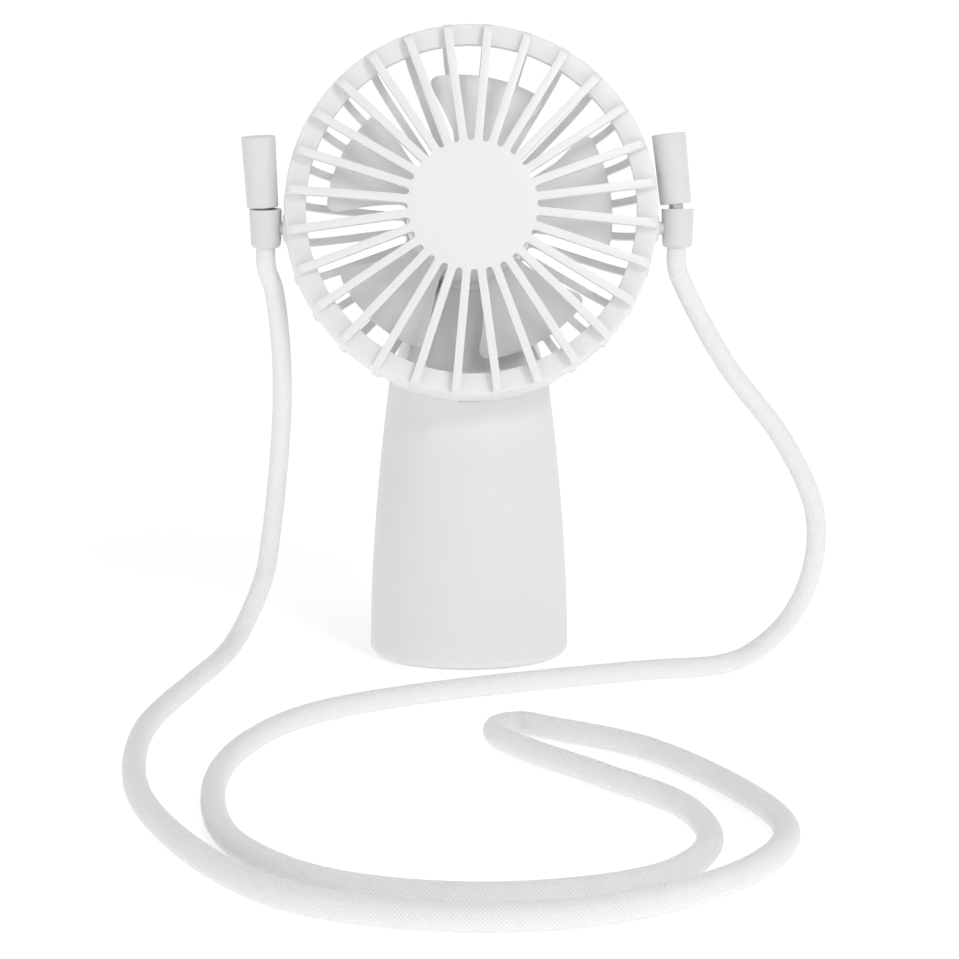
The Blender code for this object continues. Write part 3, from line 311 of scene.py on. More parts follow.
@dataclass(frozen=True)
class BoardLaminate(Finish):
    """Solder mask over copper tracks: square pads and runs that stand a little proud.

    Attributes:
        track: Spacing of the copper tracks.
        gap: Share of that spacing between two tracks.
        run: Length of a straight run, in tracks.
    """

    track: float = 1.27 * MM
    gap: float = 0.2
    run: float = 5.0

    def dress(self, tree: Tree, shader: Node) -> None:
        """Lay the tracks as bricks across the board's face.

        Args:
            tree: The material's node tree.
            shader: Its Principled shader.
        """
        place = add_node(tree, "ShaderNodeTexCoord").outputs["Object"]
        turned_place = add_node(tree, "ShaderNodeMapping", {
            "Vector": place, "Rotation": (math.radians(90), 0, 0), "Scale": (1 / self.track,) * 3,
        })
        tracks = add_node(tree, "ShaderNodeTexBrick", {
            "Vector": turned_place.outputs["Vector"], "Scale": 1.0, "Mortar Size": self.gap,
            "Brick Width": self.run, "Row Height": 1.0,
        }).outputs["Fac"]
        self.blend_colour(tree, shader, tracks)
        self.vary_roughness(tree, shader, tracks)
        self.raise_relief(tree, shader, tracks)


@dataclass(frozen=True)
class ClearPlastic(Finish):
    """Polished acrylic that passes light.

    Attributes:
        clarity: Share of the light that passes.
    """

    clarity: float = 0.85

    def dress(self, tree: Tree, shader: Node) -> None:
        """Let light through, with the polish's faint waviness."""
        super().dress(tree, shader)
        shader.inputs["Transmission Weight"].default_value = self.clarity


# White ABS, injection moulded in a spark-eroded tool: a soft sheen with a faint even grain. The real
# grain is about 0.05 mm, and is drawn coarser here and below so that it shows.
GRILLE_ABS = Finish("moulded_abs_grille", Slot.ABS, "E8E8E7", "E5E5E4", 0.38, 0.6 * MM, 0.006 * MM, 1.53)
# The same plastic on the grip, with a finer satin that the hand has not worn.
GRIP_ABS = Finish("moulded_abs_grip", Slot.ABS, "E4E4E3", "E0E0DF", 0.46, 0.45 * MM, 0.008 * MM, 1.53)
# The same white ABS on the cord's collars and barrels, painted a little greyer as shade: the grey stands for
# the shade that the head casts on them. A plain satin.
SHADED_FITTING_ABS = Finish("moulded_abs_fitting_painted_shade", Slot.ABS, "DBDBDA", "D7D7D6", 0.42, 0.5 * MM, 0.006 * MM, 1.53)
# The impeller's plastic comes glossier out of its tool.
IMPELLER_ABS = Finish("moulded_abs_impeller", Slot.ABS, "ECECEB", "E9E9E8", 0.33, 0.8 * MM, 0.004 * MM, 1.53)
# Silicone, moulded matt so that the foot grips the table: dull, with no clear highlight.
FOOT_RUBBER = Finish("moulded_silicone_foot", Slot.RUBBER, "D4D4D2", "C8C8C6", 0.8, 0.35 * MM, 0.02 * MM,
                     1.43)
# Nickel-plated steel, tumbled before plating: bright with fine soft scratches.
PLATED_STEEL = Finish("tumbled_nickel_steel", Slot.STEEL, "C9C9C7", "B5B5B3", 0.27, 0.3 * MM, 0.004 * MM,
                      1.5, 1.0)
# Oil-filled bronze, pressed from powder: open pores and a dull glow.
BUSH_BRONZE = Finish("sintered_oiled_bronze", Slot.BRONZE, "B9874E", "7E5A30", 0.45, 0.2 * MM, 0.02 * MM,
                     1.5, 1.0)
# Glass-filled nylon: dark, slightly streaky and matt.
BLACK_NYLON = Finish("moulded_black_nylon", Slot.NYLON, "2B2B2B", "1F1F1F", 0.5, 0.5 * MM, 0.01 * MM, 1.53)
# Vinyl sleeve, heat-shrunk on the cell: glossy, with shallow ripples.
CELL_SLEEVE = Finish("shrunk_pvc_sleeve", Slot.SLEEVE, "3F82B6", "3878A9", 0.25, 3.0 * MM, 0.05 * MM, 1.54)
# Glass and epoxy board with a green solder mask, printed over etched copper: glossy, with raised tracks.
BOARD_MASK = BoardLaminate("etched_board_mask", Slot.LAMINATE, "1F6A3C", "2F8450", 0.3, 0.3 * MM,
                           0.03 * MM, 1.5)
# Acrylic, polished at its ends: clear, and bright where it bends light.
LENS_ACRYLIC = ClearPlastic("polished_acrylic", Slot.ACRYLIC, "F4F7F8", "EEF2F4", 0.08, 2.0 * MM,
                            0.002 * MM, 1.49)


# Shaping


def turned(profile: Profile, steps: int, closed: bool = False) -> Solid:
    """Spin a profile about the local Z axis.

    Args:
        profile: Radius and height of each corner, from axis to axis unless closed.
        steps: Number of steps round the axis.
        closed: Whether the last corner joins the first, for a ring.

    Returns:
        The closed body.
    """
    bm = bmesh.new()
    verts = [bm.verts.new((radius, 0.0, height)) for radius, height in profile]
    edges = [bm.edges.new(pair) for pair in pairwise(verts)]
    if closed:
        edges.append(bm.edges.new((verts[-1], verts[0])))
    bmesh.ops.spin(
        bm, geom=verts + edges, cent=(0, 0, 0), axis=(0, 0, 1),
        angle=math.tau, steps=steps, use_merge=True,
    )
    tidy(bm)
    return bm


def tidy(bm: Solid) -> None:
    """Merge doubled points and turn every face outwards."""
    bmesh.ops.remove_doubles(bm, verts=bm.verts, dist=0.001 * MM)
    bmesh.ops.recalc_face_normals(bm, faces=bm.faces)


def soften(bm: Solid, width: float, segments: int = 3, angle: float = 35.0) -> None:
    """Round the sharp edges of a body.

    Args:
        bm: The body.
        width: Width of the rounding on each side of an edge.
        segments: Number of faces across the rounding.
        angle: Edges that turn by more degrees than this count as sharp.
    """
    bm.normal_update()
    sharp = [
        edge for edge in bm.edges
        if edge.is_manifold and edge.calc_face_angle(0.0) > math.radians(angle)
    ]
    round_edges(bm, sharp, width, segments)


def round_edges(bm: Solid, edges: list[bmesh.types.BMEdge], width: float, segments: int) -> None:
    """Round the given edges of a body.

    Args:
        bm: The body.
        edges: The edges to round.
        width: Width of the rounding on each side of an edge.
        segments: Number of faces across the rounding.
    """
    bmesh.ops.bevel(
        bm, geom=edges, offset=width, offset_type="OFFSET", segments=segments,
        profile=0.5, affect="EDGES", clamp_overlap=True, material=-1,
    )


def mesh_of(name: str, bm: Solid) -> bpy.types.Mesh:
    """Turn a body into a mesh.

    Args:
        name: The mesh's name.
        bm: The body, which is freed.

    Returns:
        The mesh.
    """
    mesh = bpy.data.meshes.new(name)
    bm.to_mesh(mesh)
    bm.free()
    return mesh


def link_object(name: str, data: bpy.types.ID) -> bpy.types.Object:
    """Put a new object into the scene.

    Args:
        name: The object's name.
        data: Its mesh, curve, light or camera.

    Returns:
        The object.
    """
    obj = bpy.data.objects.new(name, data)
    bpy.context.scene.collection.objects.link(obj)
    return obj


def join(target: Solid, other: Solid, matrix: Matrix | None = None) -> None:
    """Copy one body into another and free the first.

    Args:
        target: The mesh that grows.
        other: The mesh that is copied in.
        matrix: Where the copy goes.
    """
    if matrix is not None:
        other.transform(matrix)
    mesh = mesh_of("join", other)
    target.from_mesh(mesh)
    bpy.data.meshes.remove(mesh)


def rod(radius: float, low: float, high: float, steps: int = SMALL) -> Solid:
    """Return a cylinder along the local Z axis."""
    return turned([(0, low), (radius, low), (radius, high), (0, high)], steps)


def block(low: Sequence[float], high: Sequence[float]) -> Solid:
    """Make a box.

    Args:
        low: The corner with the lowest coordinates.
        high: The corner with the highest.

    Returns:
        The box.
    """
    bm = bmesh.new()
    size, middle = Vector(high) - Vector(low), (Vector(high) + Vector(low)) / 2
    bmesh.ops.create_cube(bm, size=1.0, matrix=Matrix.Translation(middle) @ Matrix.Diagonal((*size, 1.0)))
    return bm


def carve(base: Solid, cuts: Iterable[Solid], added: Iterable[Solid] = ()) -> Solid:
    """Add forms to a body and cut others out of it.

    Args:
        base: The body that is worked on.
        cuts: The forms that are cut out, in order.
        added: The forms that are joined on before the cuts.

    Returns:
        The finished body.
    """
    work = link_object("carve_base", mesh_of("carve_base", base))
    jobs = [("UNION", tool) for tool in added] + [("DIFFERENCE", tool) for tool in cuts]
    helpers = []
    for number, (operation, tool) in enumerate(jobs):
        name = f"carve_tool_{number}"
        helper = link_object(name, mesh_of(name, tool))
        helpers.append(helper)
        mod = work.modifiers.new(name, "BOOLEAN")
        mod.operation, mod.solver, mod.object = operation, "EXACT", helper
    graph = bpy.context.evaluated_depsgraph_get()
    mesh = bpy.data.meshes.new_from_object(work.evaluated_get(graph))
    bm = bmesh.new()
    bm.from_mesh(mesh)
    bpy.data.meshes.remove(mesh)
    for obj in [work, *helpers]:
        data = obj.data
        bpy.data.objects.remove(obj)
        bpy.data.meshes.remove(data)
    tidy(bm)
    return bm


def place_piece(name: str, bm: Solid, finish: Finish, body: Body, stands_for: Sequence[str] = (),
                matrix: Matrix | None = None, smooth: float = 40.0) -> bpy.types.Object:
    """Make a piece of the fan from a body.

    Args:
        name: The piece's name.
        bm: Its shape, which is freed.
        finish: Its finish.
        body: The rigid body that it moves with.
        stands_for: The CAD nodes that it is shown in place of.
        matrix: Where the shape goes.
        smooth: Edges that turn by fewer degrees than this are shaded smooth.

    Returns:
        The piece, with its place in its mesh.
    """
    if matrix is not None:
        bm.transform(matrix)
    bmesh.ops.recalc_face_normals(bm, faces=bm.faces)
    return settle(name, mesh_of(name, bm), finish, body, stands_for, smooth)


def settle(name: str, mesh: bpy.types.Mesh, finish: Finish, body: Body, stands_for: Sequence[str],
           smooth: float) -> bpy.types.Object:
    """Shade a mesh, tie it to its body and hide the CAD nodes that it stands for.

    Args:
        name: The piece's name.
        mesh: Its mesh.
        finish: Its finish.
        body: The rigid body that it moves with.
        stands_for: The CAD nodes that it is shown in place of.
        smooth: Edges that turn by fewer degrees than this are shaded smooth.

    Returns:
        The piece.
    """
    mesh.shade_smooth()
    mesh.set_sharp_from_angle(angle=math.radians(smooth))
    mesh.materials.clear()
    mesh.materials.append(finish.make())
    obj = link_object(name, mesh)
    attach(obj, body.value)
    if stands_for:
        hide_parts(*stands_for)
    LOG.info("%s: %d faces on %s", name, len(mesh.polygons), body.value)
    return obj


def smooth_curve(points: Sequence[Vector], count: int) -> list[Vector]:
    """Read evenly spaced points from a smooth curve that doesn't swing out between close points.

    Args:
        points: The points that the curve passes through.
        count: How many points to read.

    Returns:
        The points read, ends included.
    """
    ends = [points[0] * 2 - points[1], *points, points[-1] * 2 - points[-2]]
    dense = []
    for p0, p1, p2, p3 in zip(ends, ends[1:], ends[2:], ends[3:]):
        t1 = (p1 - p0).length ** 0.5
        t2 = t1 + (p2 - p1).length ** 0.5
        t3 = t2 + (p3 - p2).length ** 0.5
        for step in range(CURVE_STEPS):
            t = t1 + (t2 - t1) * step / CURVE_STEPS
            a1 = p0.lerp(p1, t / t1)
            a2 = p1.lerp(p2, (t - t1) / (t2 - t1))
            a3 = p2.lerp(p3, (t - t2) / (t3 - t2))
            b1 = a1.lerp(a2, t / t2)
            b2 = a2.lerp(a3, (t - t1) / (t3 - t1))
            dense.append(b1.lerp(b2, (t - t1) / (t2 - t1)))
    dense.append(points[-1].copy())
    lengths = [0.0]
    for one, two in pairwise(dense):
        lengths.append(lengths[-1] + (two - one).length)
    picked, index = [], 0
    for number in range(count):
        wanted = lengths[-1] * number / (count - 1)
        while index < len(dense) - 2 and lengths[index + 1] < wanted:
            index += 1
        span = max(lengths[index + 1] - lengths[index], 1e-9)
        picked.append(dense[index].lerp(dense[index + 1], min((wanted - lengths[index]) / span, 1.0)))
    return picked


# The head


@dataclass
class Grille:
    """A round grille: a plain disc whose edge runs out into even bars.

    Attributes:
        disc: Radius of the disc, to the inner ends of the slots.
        bar: Width of a bar.
        outer: Radius and depth of each point down a bar's outer face, from the disc's edge.
        inner: The same for its inner face.
        disc_face: Depth of the disc's outer face.
        disc_back: Depth of its inner face.
        count: Number of bars.
        turn: Angle of the pattern about the head's axis.
        disc_steps: Shares of the disc's radius at which its faces have a ring of points.
        end_steps: Number of points round one side of a slot's inner end.
    """

    disc: float
    bar: float
    outer: Profile
    inner: Profile
    disc_face: float
    disc_back: float
    count: int
    turn: float
    disc_steps: tuple[float, ...] = (0.0, 0.3, 0.6, 0.85)
    end_steps: int = 6

    def stations(self) -> list[tuple[float, float, float, float, float]]:
        """Read one sector of the grille from the middle outwards.

        Returns:
            Reach, half width and depth of the outer face, then reach and depth of the inner, step by step.
        """
        half = math.pi / self.count
        end = (self.disc * math.sin(half) - self.bar / 2) / (1 - math.sin(half))
        middle = Vector(((self.disc + end) * math.cos(half), (self.disc + end) * math.sin(half)))
        rows = []
        for share in self.disc_steps:
            reach = self.disc * share * math.cos(half)
            rows.append((reach, reach * math.tan(half), self.disc_face, reach, self.disc_back))
        for step in range(self.end_steps):
            turn = math.pi + half + (math.pi / 2 - half) * step / (self.end_steps - 1)
            reach = middle.x + end * math.cos(turn)
            across = middle.y + end * math.sin(turn)
            rows.append((reach, across, self.disc_face, reach, self.disc_back))
        for (radius, depth), (inner_radius, inner_depth) in zip(self.outer, self.inner):
            rows.append((radius, self.bar / 2, depth, inner_radius, inner_depth))
        return rows

    def shape(self, edge: float) -> Solid:
        """Return the disc and its bars with rounded edges.

        Args:
            edge: Width of the rounding along the bars.

        Returns:
            The grille in the head's frame.
        """
        rows = self.stations()
        # One sector, a strip with an outer and an inner face, is repeated round the axis. What stood
        # between two sectors inside the disc goes.
        bm = bmesh.new()
        bmesh.ops.create_grid(bm, x_segments=len(rows) - 1, y_segments=2, size=0.5)
        row_layer = bm.verts.layers.int.new("row")
        side_layer = bm.verts.layers.int.new("side")
        for vert in bm.verts:
            vert[row_layer] = round((vert.co.x + 0.5) * (len(rows) - 1))
            vert[side_layer] = round(vert.co.y * 2)
        for vert in bm.verts:
            reach, across, depth, _, _ = rows[vert[row_layer]]
            vert.co = (reach, vert[side_layer] * across, depth)
        grown = bmesh.ops.extrude_face_region(bm, geom=bm.faces[:], use_keep_orig=True)
        for vert in (item for item in grown["geom"] if isinstance(item, bmesh.types.BMVert)):
            _, across, _, reach, depth = rows[vert[row_layer]]
            vert.co = (reach, vert[side_layer] * across, depth)
        seam = math.tan(math.pi / self.count)
        walls = [
            face for face in bm.faces
            if all(abs(abs(v.co.y) - v.co.x * seam) < 0.002 * MM and v.co.x < self.disc for v in face.verts)
        ]
        bmesh.ops.delete(bm, geom=walls, context="FACES_ONLY")
        bmesh.ops.spin(
            bm, geom=bm.verts[:] + bm.edges[:] + bm.faces[:], cent=(0, 0, 0), axis=(0, 0, 1),
            angle=math.tau, steps=self.count, use_duplicate=True, use_merge=False,
        )
        bmesh.ops.remove_doubles(bm, verts=bm.verts, dist=0.004 * MM)
        seen = set()
        doubled = []
        for face in bm.faces:
            key = frozenset(vert.index for vert in face.verts)
            if key in seen:
                doubled.append(face)
            seen.add(key)
        bmesh.ops.delete(bm, geom=doubled, context="FACES")
        tidy(bm)
        soften(bm, edge, angle=55)
        bm.transform(Matrix.Rotation(self.turn - math.pi / 2 + math.pi / self.count, 4, "Z"))
        return bm


def offset_path(points: Profile, distance: float) -> list[tuple[float, float]]:
    """Move an open path sideways.

    Args:
        points: Radius and depth of each point.
        distance: How far to move it, inwards for a positive distance.

    Returns:
        The moved path.
    """
    moved = []
    for index, point in enumerate(points):
        before = Vector(points[max(index - 1, 0)])
        after = Vector(points[min(index + 1, len(points) - 1)])
        along = (after - before).normalized()
        moved.append((point[0] - along.y * distance, point[1] + along.x * distance))
    return moved


def rounded_path(points: Profile, steps: int) -> list[tuple[float, float]]:
    """Read a smooth line through the corners of a path."""
    curve = smooth_curve([Vector((radius, depth, 0.0)) for radius, depth in points], steps)
    return [(point.x, point.y) for point in curve]


@dataclass
class Cage:
    """The head's two guards, which meet in a fine parting line."""

    radius: float = 48.6 * MM
    flare: float = 0.6 * MM
    disc: float = 16.7 * MM
    disc_flat: float = 1.0 * MM
    front_bar: float = 2.15 * MM
    rear_bar: float = 1.95 * MM
    wall: float = 2.0 * MM
    ledge_inner: float = 43.1 * MM
    ledge: float = 5.0 * MM
    ledge_back: float = 7.0 * MM
    spoke_root: float = 0.4 * MM
    spoke_end: float = 46.4 * MM
    spoke_gap: float = 0.15 * MM
    spoke_swell: float = 0.5 * MM
    spoke_drop: float = 2.6 * MM
    rim_edge: float = 0.35 * MM
    parting: float = 7.5 * MM
    ring_end: float = 13.6 * MM
    plate: float = 16.9 * MM
    plate_front: float = 26.2 * MM
    plate_back: float = 28.6 * MM
    rise: float = 1.6 * MM
    bend: float = 1.5
    thickness: float = 2.2 * MM
    socket_drop: float = 4.0 * MM
    socket_depth: float = 12.5 * MM
    socket_radius: float = 3.4 * MM
    socket_length: float = 5.0 * MM
    socket_bore: float = 2.0 * MM
    bore_depth: float = 4.2 * MM
    screws: int = 3
    screw_circle: float = 12.8 * MM
    first_screw: float = math.radians(30)
    screw_boss: float = 2.4 * MM
    screw_bore: float = 1.2 * MM
    catch: float = 3.0 * MM
    slots: int = 28
    turn: float = math.radians(-1.07)
    steps: int = 224
    line_steps: int = 26

    def wall_radius(self, depth: float) -> float:
        """Return the outer wall's radius at a depth."""
        return self.radius + self.flare * (depth - self.ledge) / (self.ring_end - self.ledge)

    def spoke_depth(self, radius: float) -> float:
        """Find how deep a spoke's front face lies.

        Args:
            radius: Distance from the head's axis.

        Returns:
            The depth: it grows softly as far as the ledge and drops in a quarter round at the end.
        """
        if radius <= self.ledge_inner:
            way = self.ledge_inner - self.disc - self.disc_flat
            return self.rise * (max(radius - self.disc - self.disc_flat, 0.0) / way) ** self.bend
        share = (radius - self.ledge_inner) / (self.radius - self.ledge_inner)
        end = max((radius - self.spoke_end) / (self.radius - self.spoke_gap - self.spoke_end), 0.0)
        drop = self.spoke_drop * (1 - math.sqrt(max(1 - end ** 2, 0.0)))
        return self.rise + self.spoke_swell * share ** 2 + drop

    def front_grille(self) -> Solid:
        """Make the disc, spokes, recessed ledge and rim.

        Returns:
            The guard in the head's frame.
        """
        radii = [step * MM for step in (19, 22, 26, 30, 34, 38, 41)]
        radii += [self.ledge_inner, 44.5 * MM, self.spoke_end]
        radii += [step * MM for step in (47.0, 47.5, 47.9, 48.2, 48.4)]
        radii.append(self.radius - self.spoke_gap)
        outer = [(radius, self.spoke_depth(radius)) for radius in radii]
        inner = []
        for radius, depth in outer:
            floor = self.ledge + self.spoke_root if radius > self.ledge_inner else depth + self.thickness
            inner.append((radius, max(depth + self.thickness, floor)))
        grille = Grille(self.disc, self.front_bar, outer, inner, 0.0, self.thickness, self.slots,
                        self.turn)
        bm = grille.shape(0.32 * MM)
        outside = self.wall_radius(self.parting)
        inside = outside - self.wall
        rim = turned([
            (self.ledge_inner, self.ledge), (self.radius - self.rim_edge, self.ledge),
            (self.radius + 0.02 * MM, self.ledge + self.rim_edge), (outside, self.parting),
            (inside, self.parting), (inside - 0.4 * MM, self.ledge_back), (self.ledge_inner, self.ledge_back),
        ], self.steps, closed=True)
        soften(rim, 0.16 * MM, angle=25)
        join(bm, rim)
        return bm

    def outside(self) -> list[tuple[float, float]]:
        """Trace the rear guard's outer line from its ring to its plate.

        Returns:
            Radius and depth of each point of the smooth line.
        """
        run = self.plate_back - self.ring_end
        shares = [
            (1.020, 0.190), (1.002, 0.440), (0.968, 0.670), (0.915, 0.835), (0.835, 0.930), (0.700, 0.975),
            (0.550, 0.990),
        ]
        line = [(self.wall_radius(depth), depth) for depth in (self.ring_end - 2 * MM, self.ring_end)]
        line += [(radius * self.radius, self.ring_end + share * run) for radius, share in shares]
        line.append((self.plate + 1.4 * MM, self.plate_back - 0.05 * MM))
        return rounded_path(line, self.line_steps)

    def sector(self, inner: Profile, outer: Profile) -> Solid:
        """Return a part of a turned wall, four slots wide, where the handle takes the cage.

        Args:
            inner: Radius and depth of each point along its inside.
            outer: The same along its outside, for as many points.

        Returns:
            The closed form in the head's frame.
        """
        middle = math.pi / 2 + self.turn
        half = 2 * math.tau / self.slots
        bm = bmesh.new()
        bmesh.ops.create_grid(bm, x_segments=len(inner) - 1, y_segments=32, size=0.5)
        row_layer = bm.verts.layers.int.new("row")
        turn_layer = bm.verts.layers.float.new("turn")
        for vert in bm.verts:
            vert[row_layer] = round((vert.co.x + 0.5) * (len(inner) - 1))
            vert[turn_layer] = middle + 2 * half * vert.co.y
        grown = bmesh.ops.extrude_face_region(bm, geom=bm.faces[:], use_keep_orig=True)
        behind = {item for item in grown["geom"] if isinstance(item, bmesh.types.BMVert)}
        for vert in bm.verts:
            radius, depth = (outer if vert in behind else inner)[vert[row_layer]]
            vert.co = (radius * math.cos(vert[turn_layer]), radius * math.sin(vert[turn_layer]), depth)
        tidy(bm)
        return bm

    def rear_grille(self) -> Solid:
        """Make the back plate, ribs, ring, sockets, bosses and the catch.

        Returns:
            The guard in the head's frame.
        """
        outer = self.outside()[::-1]
        inner = offset_path(outer, -self.wall)
        grille = Grille(self.plate + 0.4 * MM, self.rear_bar, outer, inner, self.plate_back, self.plate_front,
                        self.slots, self.turn)
        bm = grille.shape(0.3 * MM)
        line = [(self.plate - 1.5 * MM, self.plate_back), *outer]
        join(bm, self.sector(offset_path(line, -self.wall + 0.05 * MM), offset_path(line, -0.25 * MM)))
        corners = [(15.5, 23.6), (18.0, 23.6), (18.35, 23.75), (18.5, 24.1), (18.6, 26.6)]
        land = [(radius * MM, depth * MM) for radius, depth in corners]
        join(bm, self.sector(land, [(radius - 0.2 * MM, 27.2 * MM) for radius, _ in land]))
        front, end = self.parting + SEAT_GAP, self.ring_end + SEAT_GAP
        ring = turned([
            (self.wall_radius(front), front), (self.wall_radius(end), end),
            (self.wall_radius(end) - self.wall, end), (self.wall_radius(front) - self.wall, front),
        ], self.steps, closed=True)
        soften(ring, 0.25 * MM)
        join(bm, ring)
        for number in range(self.screws):
            self.add_boss(bm, self.first_screw + math.tau * number / self.screws)
        for side in (-1, 1):
            self.add_socket(bm, side)
        inside = self.wall_radius(self.ring_end) - self.wall
        catch = block((-self.catch, -inside - 0.6 * MM, self.parting + 2.5 * MM),
                      (self.catch, -inside + 1.6 * MM, self.ring_end))
        soften(catch, 0.25 * MM, segments=2)
        join(bm, catch, Matrix.Rotation(self.turn, 4, "Z"))
        return bm

    def add_boss(self, bm: Solid, angle: float) -> None:
        """Put a screw's boss on the back plate.

        Args:
            bm: The rear guard.
            angle: Where the boss stands about the head's axis.
        """
        front, back = self.plate_front - 3 * MM, self.plate_front + 0.5 * MM
        boss = turned([
            (self.screw_bore, front), (self.screw_boss, front), (self.screw_boss, back),
            (self.screw_bore, back),
        ], TINY, closed=True)
        soften(boss, 0.15 * MM, segments=2)
        spot = Vector((math.cos(angle), math.sin(angle), 0)) * self.screw_circle
        join(bm, boss, Matrix.Translation(spot))

    def add_socket(self, bm: Solid, side: int) -> None:
        """Put the socket of one cord collar's trunnion on the ring.

        Args:
            bm: The rear guard.
            side: Minus one on the left, one on the right.
        """
        socket = turned([
            (self.socket_bore, 0), (self.socket_radius, 0), (self.socket_radius, self.socket_length),
            (0, self.socket_length), (0, self.bore_depth), (self.socket_bore, self.bore_depth),
        ], SMALL, closed=True)
        soften(socket, 0.2 * MM, segments=2, angle=50)
        reach = self.wall_radius(self.socket_depth) + 0.2 * MM
        mouth = Vector((side * reach, self.socket_drop, self.socket_depth))
        join(bm, socket, Matrix.Translation(mouth) @ Matrix.Rotation(math.radians(-90 * side), 4, "Y"))

    def build(self) -> None:
        """Place both guards."""
        place_piece("front_grille", self.front_grille(), GRILLE_ABS, Body.FAN, ["front_guard"], HEAD)
        place_piece("rear_grille", self.rear_grille(), GRILLE_ABS, Body.FAN, ["rear_guard"], HEAD)


@dataclass
class Rotor:
    """The impeller: a cup-shaped hub and five swept blades."""

    hub: float = 17.0 * MM
    hub_wall: float = 1.6 * MM
    hub_front: float = 6.2 * MM
    hub_back: float = 22.6 * MM
    boss: float = 3.0 * MM
    boss_back: float = 12.4 * MM
    bore: float = 1.3 * MM
    tip: float = 38.0 * MM
    tip_span: float = math.radians(52.0)
    root_span: float = math.radians(34.0)
    tip_rise: float = 7.5 * MM
    root_rise: float = 7.0 * MM
    middle: float = 17.4 * MM
    camber: float = 1.6 * MM
    root_camber: float = 0.4
    thickness: float = 1.3 * MM
    corner: float = 3.6 * MM
    hub_edge: float = 1.4 * MM
    first: float = math.radians(-82.3)
    count: int = 5

    def blade(self, heading: float) -> Solid:
        """Return one twisted, cambered blade.

        Args:
            heading: Angle of its middle about the head's axis.

        Returns:
            The blade with softened edges.
        """
        root = self.hub - 0.5 * self.hub_wall
        bm = bmesh.new()
        bmesh.ops.create_grid(bm, x_segments=28, y_segments=12, size=0.5)
        for vert in bm.verts:
            across = (1 - math.cos(math.pi * (vert.co.x + 0.5))) / 2
            to_end = min(across, 1 - across) * self.tip_span * self.tip
            short = max(self.corner - to_end, 0.0)
            tip = self.tip - self.corner + math.sqrt(max(self.corner ** 2 - short ** 2, 0.0))
            radius = root + (tip - root) * (vert.co.y + 0.5)
            share = (radius - self.hub) / (self.tip - self.hub)
            span = self.root_span + (self.tip_span - self.root_span) * share
            rise = self.root_rise + (self.tip_rise - self.root_rise) * share
            camber = self.camber * (1 - (2 * across - 1) ** 2) * (
                self.root_camber + (1 - self.root_camber) * share)
            angle = heading + span * (across - 0.5)
            depth = self.middle + rise * (across - 0.5) + camber - 0.5 * self.camber
            vert.co = (radius * math.cos(angle), radius * math.sin(angle), depth)
        grown = bmesh.ops.extrude_face_region(bm, geom=bm.faces[:], use_keep_orig=True)
        for vert in (item for item in grown["geom"] if isinstance(item, bmesh.types.BMVert)):
            vert.co.z += self.thickness
        tidy(bm)
        soften(bm, 0.4 * MM, angle=50)
        return bm

    def build(self) -> None:
        """Place the hub and blades as one moulding."""
        face = self.hub_front + self.hub_wall
        bm = turned([
            (0, self.hub_front), (self.hub - self.hub_edge, self.hub_front),
            (self.hub, self.hub_front + self.hub_edge), (self.hub, self.hub_back),
            (self.hub - self.hub_wall, self.hub_back), (self.hub - self.hub_wall, face), (self.boss, face),
            (self.boss, self.boss_back), (self.bore, self.boss_back), (self.bore, face), (0, face),
        ], 128)
        soften(bm, 0.5 * MM, segments=4, angle=30)
        for number in range(self.count):
            join(bm, self.blade(self.first + math.tau * number / self.count))
        place_piece("impeller_moulding", bm, IMPELLER_ABS, Body.ROTOR, ["impeller"], HEAD)


# The handle


